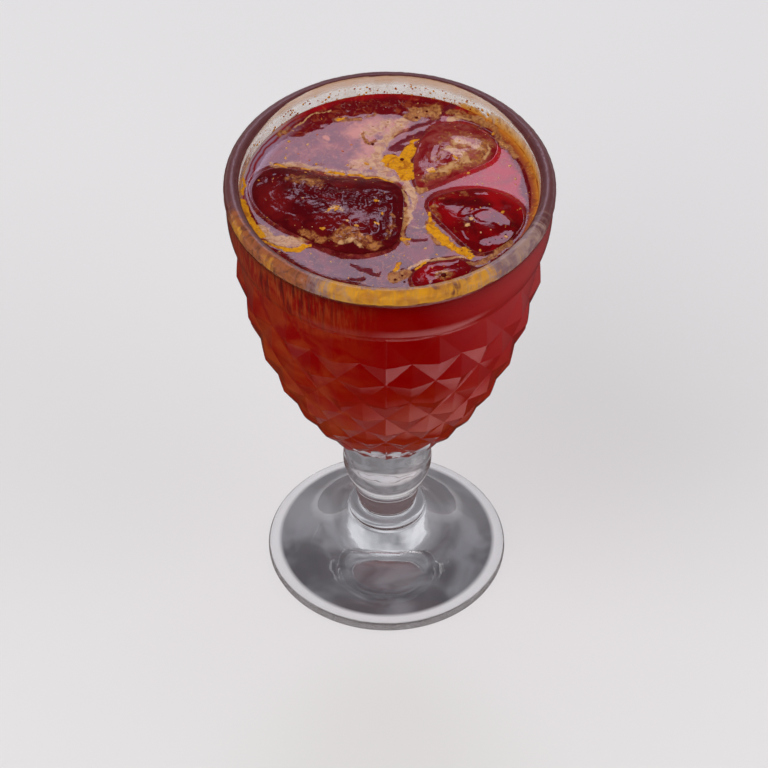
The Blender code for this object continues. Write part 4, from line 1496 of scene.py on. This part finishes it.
def juice_side_material(settings):
    """The drink against the glass: deep red at the collar; orange-red low down and brighter at the right,
    as painted light glowing through the drink; browner to the left with upright streaks of pulp. It meets
    glass and not air, so it has no gloss of its own."""
    material, nodes = new_material("juice behind glass")
    axes = nodes.axes()
    left = nodes.ramp(axes["X"], -0.002, -0.024)
    deep = nodes.ramp(axes["Z"], 0.1, 0.078)
    murky = nodes.scaled(deep, 0.35, nodes.scaled(left, 0.65, 0.06))
    at_left = nodes.times(left, nodes.ramp(axes["Z"], 0.114, 0.129))
    colour = nodes.layers(
        settings.collar_colour,
        # Painted light: orange-red low down and brighter at the right, as light glowing through the drink
        (settings.low_colour, nodes.ramp(axes["Z"], 0.104, 0.076)),
        (settings.right_glow_colour, nodes.ramp(axes["X"], 0.01, 0.034), 0.85),
        (settings.pulp_colour, nodes.mottle(120, 0.35, 0.7, Detail=5, Twist=0.8), murky),
        ((0.34, 0.052, 0.012), nodes.streak(1400, 0.44, 0.66, Detail=5, Upright=0.12), at_left),
        ((0.1, 0.005, 0.004), nodes.streak(900, 0.5, 0.66, Detail=5), at_left),
    )
    bumps = nodes.ripple(500, 0.2, 0.0002, Detail=3)
    nodes.shade(Base_Color=colour, Roughness=0.5, Specular_IOR_Level=0, IOR=JUICE_IOR, Normal=bumps)
    return material


def ice_material(name, settings, deep, bright, crinkled):
    """Ice wet with juice: deep red with brighter clear parts, and clouds of tan and cream."""
    material, nodes = new_material(name)
    grain = nodes.mottle(1100, 0.38, 0.66, Twist=1)
    tan = nodes.lace("tan", 560, 2, 0.35, 1.05)
    colour = nodes.layers(
        deep,
        (bright, nodes.mottle(240, 0.4, 0.75, Detail=5, Twist=1), 0.6),
        (bright, nodes.attribute("bright")),
        ((0.055, 0.0005, 0.0015), nodes.lace("shade", 420, 0.8, 0.1, 1.2)),
        (nodes.layers(settings.tan_colour, ((0.2, 0.045, 0.022), grain)), tan),
        (settings.cream_colour, nodes.lace("cream", 620, 1.8, 0.35, 1)),
        ((0.62, 0.26, 0.01), nodes.lace("yellow", 900, 0.6)),
    )
    bumps = nodes.ripple(1500, crinkled, 0.0002, Detail=4)
    nodes.shade(Base_Color=colour, Roughness=nodes.reach(tan, 0.05, 0.16), IOR=JUICE_IOR, Normal=bumps)
    return material


def lip_colour(nodes, over):
    """The lip's coat: partly a wet film, with a painted dark tone for the dark that the glass shows and a
    painted lilac-grey highlight in its middle, streaked gold, rust and beige.
    """
    narrow = nodes.streak(1500, 0.42, 0.62, Upright=0.15)
    pale = nodes.streak(1100, 0.55, 0.7)
    smudged = nodes.mottle(520, 0.4, 0.66, Detail=5, Twist=0.8)
    blotched = nodes.mottle(300, 0.38, 0.66, Twist=0.6)
    rust = ((0.36, 0.105, 0.028), ((0.15, 0.045, 0.024), smudged), ((0.4, 0.12, 0.06), narrow, 0.5))
    beige = ((0.38, 0.24, 0.2), ((0.23, 0.125, 0.135), blotched), ((0.58, 0.3, 0.07), pale, 0.45))
    gold = (
        (0.72, 0.31, 0.005),
        ((0.5, 0.19, 0.015), blotched),
        ((0.44, 0.22, 0.06), narrow, 0.3),
        ((0.42, 0.24, 0.12), pale, 0.4),
    )
    shaken = nodes.maths("SUBTRACT", narrow, 0.5)
    wide = nodes.streak(420, 0.4, 0.66)
    # The coat over the lip: a painted dark tone for the dark that the glass shows, with a painted
    # lilac-grey highlight in its middle
    coat = nodes.layers(nodes.colours(over, COAT_AND_PAINTED_LIGHT_STOPS), ((0.15, 0.05, 0.05), wide, 0.35))
    for title, tints in (("lip_rust", rust), ("lip_beige", beige), ("lip_gold", gold)):
        painted = nodes.scaled(shaken, 0.25, nodes.attribute(title))
        coat = nodes.layers(coat, (nodes.layers(*tints), nodes.lace(painted, 380, 0.9, 0.22, 0.74)))
    # A painted highlight over the lip's top at the front
    painted_highlight = nodes.times(nodes.attribute("lip_painted_highlight"), nodes.mottle(330, 0.3, 0.62))
    return nodes.layers(coat, ((0.42, 0.31, 0.33), painted_highlight, 0.65))


def film_material(settings):
    """What the drink left on the wall and the lip: a faint beige veil with golden, amber and red-brown
    stains, and the lip's coat, which has a painted dark tone and a painted highlight."""
    material, nodes = new_material("wall film")
    golden = nodes.lace("golden", 420, 0.9)
    amber = nodes.lace("amber", 420, 1, 0.25, 0.8)
    red = nodes.lace("red", 420, 0.9)
    height = nodes.axes()["Z"]
    under_lip = nodes.ramp(height, 0.138, 0.1393)
    up = nodes.ramp(height, 0.1345, 0.1382)
    lip = nodes.attribute("lip")
    over = nodes.attribute("over")
    rusty = nodes.layers(
        nodes.colours(up, AMBER_STOPS),
        (settings.amber_colour, nodes.streak(900, 0.35, 0.7, Upright=0.3), 0.5),
        ((0.4, 0.09, 0.012), nodes.mottle(800, 0.52, 0.66, Detail=3), nodes.scaled(up, -0.5, 0.8)),
    )
    colour = nodes.layers(
        settings.veil_colour,
        (settings.golden_colour, golden),
        ((0.66, 0.4, 0.25), under_lip),
        (rusty, amber),
        ((0.32, 0.016, 0.008), red),
        (lip_colour(nodes, over), nodes.ramp(lip, 0.02, 0.3)),
    )
    veil = nodes.scaled(nodes.mottle(260, 0.3, 0.8, Detail=5, Upright=0.6), 0.2, 0.15)
    faint = nodes.times(nodes.scaled(under_lip, 0.32, veil), nodes.ramp(over, 0.92, 0.82))
    stained = nodes.times(nodes.most(golden, amber, red), 0.88)
    cover = nodes.most(stained, faint, nodes.times(nodes.ramp(lip, 0, 0.5), 0.94))
    rough = nodes.reach(lip, 0.18, 0.3)
    bumps = nodes.ripple(900, 0.3, 0.0002, Detail=3)
    nodes.shade(Base_Color=colour, Alpha=cover, Roughness=rough, IOR=FILM_IOR, Normal=bumps)
    return material


def speck_material(name, colours, roughness):
    """Small bits whose colour runs through a few tints, one for each bit."""
    material, nodes = new_material(name)
    stops = [(k / (len(colours) - 1), tint) for k, tint in enumerate(colours)]
    plain = nodes.colours(nodes.attribute("shade"), stops)
    darker = nodes.vector("MULTIPLY", plain, (0.8, 0.6, 0.45))[0]
    colour = nodes.layers(plain, (darker, nodes.mottle(2500, 0.35, 0.75, Detail=2)))
    nodes.shade(Base_Color=colour, Roughness=roughness, IOR=JUICE_IOR)
    return material


def floor_material(settings):
    """Pale floor. Seen in glossy reflections it is a painted reflection: dark in front of the glass and
    close to it, tinted at the sides, with a painted bright patch in front and bright far away. For rays
    bent by the glass it has
    painted shade: dim under the foot and in a ring behind it, and darker after a glossy bounce."""
    material, nodes = new_material("pale floor with painted reflection and shade")
    axes = nodes.axes()
    place = nodes.place()
    away = nodes.vector("LENGTH", place)["Value"]
    # A painted bright patch in front of the glass, seen only in reflections
    painted_bright_patch = nodes.times(nodes.hill(away, (0.1, 0.075), (0.042, 0.054)), nodes.ramp(axes["Y"], 0, -0.03))
    to_right = nodes.scaled(nodes.ramp(axes["X"], -0.02, 0.015), 0.85, 0.15)
    # Painted reflection: what glossy rays see of the floor in place of its pale colour
    painted_reflection = nodes.layers(
        (0.01, 0.009, 0.01),
        ((0.5, 0.36, 0.38), nodes.ramp(axes["X"], 0.05, 0.26)),
        ((0.2, 0.13, 0.1), nodes.ramp(axes["X"], -0.02, -0.3)),
        ((0.05, 0.022, 0.014), nodes.ramp(away, 0.13, 0.06)),
        ((1.05, 0.62, 0.6), painted_bright_patch, to_right),
        ((1.9, 1.85, 1.9), nodes.ramp(away, 0.9, 1.8)),
    )
    # Painted shade for rays bent by the glass: under the foot and in a ring behind it
    middle = nodes.ramp(nodes.vector("DISTANCE", place, (0, 0.0018, 0))["Value"], 0.0302, 0.0288)
    behind = nodes.ramp(axes["Y"], -0.006, 0.01)
    beyond = nodes.hill(away, (0.0345, 0.038), (0.085, 0.065))
    under = nodes.most(middle, nodes.times(beyond, behind))
    patches = nodes.mottle(75, 0.36, 0.66, Detail=2, Twist=0.6)
    dim = nodes.layers(
        (0.125, 0.12, 0.13), ((0.27, 0.275, 0.29), patches), ((0.52, 0.51, 0.52), behind, 0.3)
    )
    path = nodes.add("LightPath").outputs
    bent = path["Is Transmission Ray"]
    colour = nodes.layers(
        settings.floor_colour,
        ((0.87, 0.87, 0.87), nodes.mottle(9, 0.2, 0.8, Detail=2)),
        (dim, bent, under),
        # Painted shade: darker still for bent rays after a glossy bounce
        ((0.17, 0.12, 0.12), bent, nodes.maths("GREATER_THAN", path["Glossy Depth"], 0.5)),
        (painted_reflection, path["Is Glossy Ray"], path["Is Reflection Ray"]),
    )
    nodes.shade(Base_Color=colour, Roughness=0.9, Specular_IOR_Level=0)
    return material


# Settings and operators


def colour_property(name, description, default):
    return FloatVectorProperty(name=name, description=description, default=default, subtype="COLOR")


def plain_property(name, description, default):
    return FloatProperty(name=name, description=description, default=default)


def length_property(name, description, default):
    return FloatProperty(name=name, description=description, default=default, unit="LENGTH", precision=5)


class GobletSettings(bpy.types.PropertyGroup):
    lip_thickness: length_property("Lip thickness", "Width of the round bead", LIP_THICKNESS)
    point_rise: plain_property("Diamond height", "Height of a diamond's tip, in its half widths", 0.20)
    seam_height: length_property("Seam height", "How far the mould's seam stands out", 0.00010)
    glass_colour: colour_property("Glass", "Tint of the clear glass", (0.95, 0.955, 0.965))


class JuiceSettings(bpy.types.PropertyGroup):
    meniscus_rise: length_property("Meniscus", "How far the drink climbs the wall", 0.0011)
    meniscus_width: length_property("Meniscus width", "How soon that climb dies away", 0.0021)
    ice_meniscus: length_property("Ice meniscus", "How far the drink climbs the ice", 0.0004)
    ice_meniscus_width: length_property("Ice meniscus width", "How soon that climb dies away", 0.0006)
    wave_height: length_property("Waves", "Height of the slight waves", 0.00007)
    top_colour: colour_property("Top", "Drink seen from above", (0.145, 0.012, 0.016))
    front_colour: colour_property("Front", "Drink seen from above at the front", (0.100, 0.003, 0.005))
    # Painted light: the top is brighter at the right, as light coming through the drink
    right_colour: colour_property("Thin side", "Drink where light comes through", (0.45, 0.012, 0.022))
    collar_colour: colour_property("Collar", "Drink behind the smooth collar", (0.24, 0.0001, 0.0004))
    # Painted light: low down and at the right the drink is brighter, as light glowing through it
    low_colour: colour_property("Low", "Drink low in the bowl", (0.29, 0.012, 0.003))
    right_glow_colour: colour_property("Right side", "Drink at the right of the bowl", (0.40, 0.012, 0.013))
    pulp_colour: colour_property("Pulp", "Orange pulp in the drink", (0.36, 0.050, 0.009))
    pink_colour: colour_property("Pink clouds", "Thin pinkish foam", (0.50, 0.15, 0.085))
    cream_colour: colour_property("Cream foam", "Thin pale foam", (0.59, 0.32, 0.14))
    tan_colour: colour_property("Tan foam", "Foam with pulp", (0.45, 0.17, 0.045))
    yellow_colour: colour_property("Yellow foam", "Foam of orange pulp", (0.78, 0.33, 0.003))
    veil_colour: colour_property("Veil", "Faint film on the wall", (0.80, 0.62, 0.46))
    golden_colour: colour_property("Golden stain", "Golden film on the wall", (0.72, 0.33, 0.03))
    amber_colour: colour_property("Amber stain", "Amber film on the wall", (0.62, 0.24, 0.05))


class IceSettings(bpy.types.PropertyGroup):
    roughness: plain_property("Melt", "Share of the ice's hollows and crinkles", 1.0)


class StageSettings(bpy.types.PropertyGroup):
    floor_colour: colour_property("Floor", "Pale floor", (0.88, 0.88, 0.88))
    window_strength: plain_property("Window", "Brightness of the soft window behind", 5.6)
    key_strength: plain_property("Key", "Brightness of the soft key light", 1.3)
    fill_strength: plain_property("Fill", "Brightness of the soft fill light", 0.94)
    sky_strength: plain_property("Sky", "Brightness all round", 0.48)


class OBJECT_OT_juice_goblet(bpy.types.Operator):
    """Make the pressed-glass goblet"""

    bl_idname = "object.juice_goblet"
    bl_label = "Goblet"

    def execute(self, context):
        settings = context.scene.goblet_settings
        make_goblet(settings, glass_material(settings))
        return {"FINISHED"}


class OBJECT_OT_juice_drink(bpy.types.Operator):
    """Make the drink"""

    bl_idname = "object.juice_drink"
    bl_label = "Juice"

    def execute(self, context):
        settings = context.scene.juice_settings
        make_juice(settings, [juice_top_material(settings), juice_side_material(settings)])
        return {"FINISHED"}


class OBJECT_OT_juice_ice(bpy.types.Operator):
    """Make the four pieces of ice"""

    bl_idname = "object.juice_ice"
    bl_label = "Ice"

    def execute(self, context):
        looks = {
            "ice_left": ((0.080, 0.001, 0.003), (0.19, 0.006, 0.006), 0.22),
            "ice_upper_right": ((0.21, 0.006, 0.010), (0.40, 0.105, 0.075), 0.10),
            "ice_right": ((0.14, 0.0005, 0.002), (0.34, 0.002, 0.004), 0.12),
            "ice_front": ((0.17, 0.0005, 0.003), (0.34, 0.002, 0.004), 0.12),
        }
        for name, (deep, bright, crinkled) in looks.items():
            settings = context.scene.juice_settings
            material = ice_material(name.replace("_", " "), settings, deep, bright, crinkled)
            make_ice(name, context.scene.ice_settings, material)
        return {"FINISHED"}


class OBJECT_OT_juice_stains(bpy.types.Operator):
    """Make the film and the droplets on the wall over the drink"""

    bl_idname = "object.juice_stains"
    bl_label = "Stains"

    def execute(self, context):
        make_wall_film(film_material(context.scene.juice_settings))
        drops = ((0.30, 0.010, 0.006), (0.55, 0.13, 0.02), (0.74, 0.34, 0.03), (0.50, 0.16, 0.04))
        make_droplets(speck_material("droplets", drops, 0.1))
        return {"FINISHED"}


class OBJECT_OT_juice_bits(bpy.types.Operator):
    """Make the pulp and the bubbles on the drink"""

    bl_idname = "object.juice_bits"
    bl_label = "Pulp and bubbles"

    def execute(self, context):
        settings = context.scene.juice_settings, context.scene.ice_settings
        pulp = ((0.70, 0.28, 0.015), (0.72, 0.34, 0.06), (0.76, 0.46, 0.24), (0.60, 0.14, 0.03))
        make_pulp(settings, speck_material("pulp", pulp, 0.25))
        bubbles = ((0.10, 0.006, 0.003), (0.34, 0.09, 0.03), (0.60, 0.34, 0.18))
        make_bubbles(settings, speck_material("bubbles", bubbles, 0.06))
        return {"FINISHED"}


class OBJECT_OT_juice_stage(bpy.types.Operator):
    """Make the pale floor, the soft lights and the camera"""

    bl_idname = "object.juice_stage"
    bl_label = "Stage"

    def execute(self, context):
        make_stage(context.scene.stage_settings)
        return {"FINISHED"}


# Camera, as the ellipses of the rim and the foot give it
CAMERA_HEIGHT_ANGLE = math.radians(45.13)
CAMERA_DISTANCE = 1.485
CAMERA_TARGET = Vector((-0.00108, 0.0, 0.06439))
CAMERA_ROLL = math.radians(0.461)
CAMERA_LENS = 255.6
SENSOR_WIDTH = 36.0
FLOOR_HALF = 6.0
LAMP_TARGET = (0, 0, 0.1)


def aim(obj, place, target):
    obj.location = place
    obj.rotation_mode = "QUATERNION"
    obj.rotation_quaternion = (Vector(target) - Vector(place)).to_track_quat("-Z", "Y")


def add_lamp(name, place, size, radiance, colour):
    """A soft elliptic lamp of that size, as strong as a rectangle of that size and brightness."""
    lamp = bpy.data.lights.new(name, "AREA")
    lamp.shape = "ELLIPSE"
    lamp.size, lamp.size_y = size
    lamp.energy = radiance * math.pi * size[0] * size[1]
    lamp.color = colour
    obj = bpy.data.objects.new(name, lamp)
    bpy.context.scene.collection.objects.link(obj)
    aim(obj, place, LAMP_TARGET)
    return obj


def make_camera():
    camera = bpy.data.cameras.new("camera")
    camera.lens = CAMERA_LENS
    camera.sensor_width = SENSOR_WIDTH
    camera.clip_start = 0.05
    camera.clip_end = 50
    obj = bpy.data.objects.new("camera", camera)
    bpy.context.scene.collection.objects.link(obj)
    away = Vector((0, -math.cos(CAMERA_HEIGHT_ANGLE), math.sin(CAMERA_HEIGHT_ANGLE)))
    aim(obj, CAMERA_TARGET + away * CAMERA_DISTANCE, CAMERA_TARGET)
    obj.rotation_quaternion = obj.rotation_quaternion @ Quaternion((0, 0, 1), CAMERA_ROLL)
    bpy.context.scene.camera = obj


def make_world(settings):
    """Pale to the camera and even for matt surfaces. Mirrored in gloss it is bright at the horizon and
    dim above; bent through glass it is patchy, as dim and pale cards beside the set make it."""
    world = bpy.data.worlds.new("studio")
    bpy.context.scene.world = world
    world.use_nodes = True
    nodes = Nodes(world.node_tree)
    climb = nodes.ramp(nodes.axes("Generated")["Z"], 0, 0.45)
    noise = nodes.add("TexNoise", {"Vector": nodes.place("Generated"), "Scale": 3.5, "Detail": 2})
    cards = nodes.ramp(noise.outputs["Fac"], 0.36, 0.62)
    path = nodes.add("LightPath").outputs
    colour = nodes.layers(
        nodes.colours(climb, SKY_STOPS),
        (nodes.layers((0.56, 0.56, 0.6), ((1.45, 1.45, 1.52), cards)), path["Is Transmission Ray"]),
        ((1, 1, 1), path["Is Diffuse Ray"]),
        ((1.7, 1.7, 1.7), path["Is Camera Ray"]),
    )
    background = world.node_tree.nodes["Background"]
    nodes.put(background.inputs["Color"], colour)
    background.inputs["Strength"].default_value = settings.sky_strength


def make_stage(settings):
    """A square floor, three soft lamps, the world and the camera."""
    half = FLOOR_HALF
    mesh = bpy.data.meshes.new("floor")
    corners = [(-half, -half, 0), (half, -half, 0), (half, half, 0), (-half, half, 0)]
    mesh.from_pydata(corners, [], [(0, 1, 2, 3)])
    mesh.materials.append(floor_material(settings))
    floor = bpy.data.objects.new("floor", mesh)
    bpy.context.scene.collection.objects.link(floor)
    window = add_lamp("window", (0.0, 1.5, 1.6), (0.62, 0.4), settings.window_strength, (0.9, 0.82, 1.08))
    window.data.shape = "RECTANGLE"
    window.visible_transmission = False
    key = add_lamp("key", (-1.2, -1.1, 1.7), (2.4, 2.4), settings.key_strength, (1.0, 0.98, 0.95))
    fill = add_lamp("fill", (1.7, -0.7, 1.1), (2.0, 2.0), settings.fill_strength, (1.0, 0.96, 0.97))
    key.visible_glossy = False
    fill.visible_glossy = False
    make_world(settings)
    make_camera()
    bpy.context.scene.view_settings.view_transform = "Standard"


class VIEW3D_PT_juice(bpy.types.Panel):
    """Lists the steps that dress the goblet of juice"""

    bl_label = "Iced juice goblet"
    bl_space_type = "VIEW_3D"
    bl_region_type = "UI"
    bl_category = "Juice"

    def draw(self, context):
        for operator in OPERATORS:
            self.layout.operator(operator.bl_idname)


OPERATORS = (
    OBJECT_OT_juice_goblet,
    OBJECT_OT_juice_drink,
    OBJECT_OT_juice_ice,
    OBJECT_OT_juice_stains,
    OBJECT_OT_juice_bits,
    OBJECT_OT_juice_stage,
)
SETTINGS = {
    "goblet_settings": GobletSettings,
    "juice_settings": JuiceSettings,
    "ice_settings": IceSettings,
    "stage_settings": StageSettings,
}


def register():
    for name, group in SETTINGS.items():
        bpy.utils.register_class(group)
        setattr(bpy.types.Scene, name, PointerProperty(type=group))
    for operator in OPERATORS:
        bpy.utils.register_class(operator)
    bpy.utils.register_class(VIEW3D_PT_juice)


def unregister():
    bpy.utils.unregister_class(VIEW3D_PT_juice)
    for operator in reversed(OPERATORS):
        bpy.utils.unregister_class(operator)
    for name, group in SETTINGS.items():
        delattr(bpy.types.Scene, name)
        bpy.utils.unregister_class(group)


def main():
    register()
    bpy.ops.object.juice_goblet()
    bpy.ops.object.juice_drink()
    bpy.ops.object.juice_ice()
    bpy.ops.object.juice_stains()
    bpy.ops.object.juice_bits()
    bpy.ops.object.juice_stage()


if __name__ == "__main__":
    main()
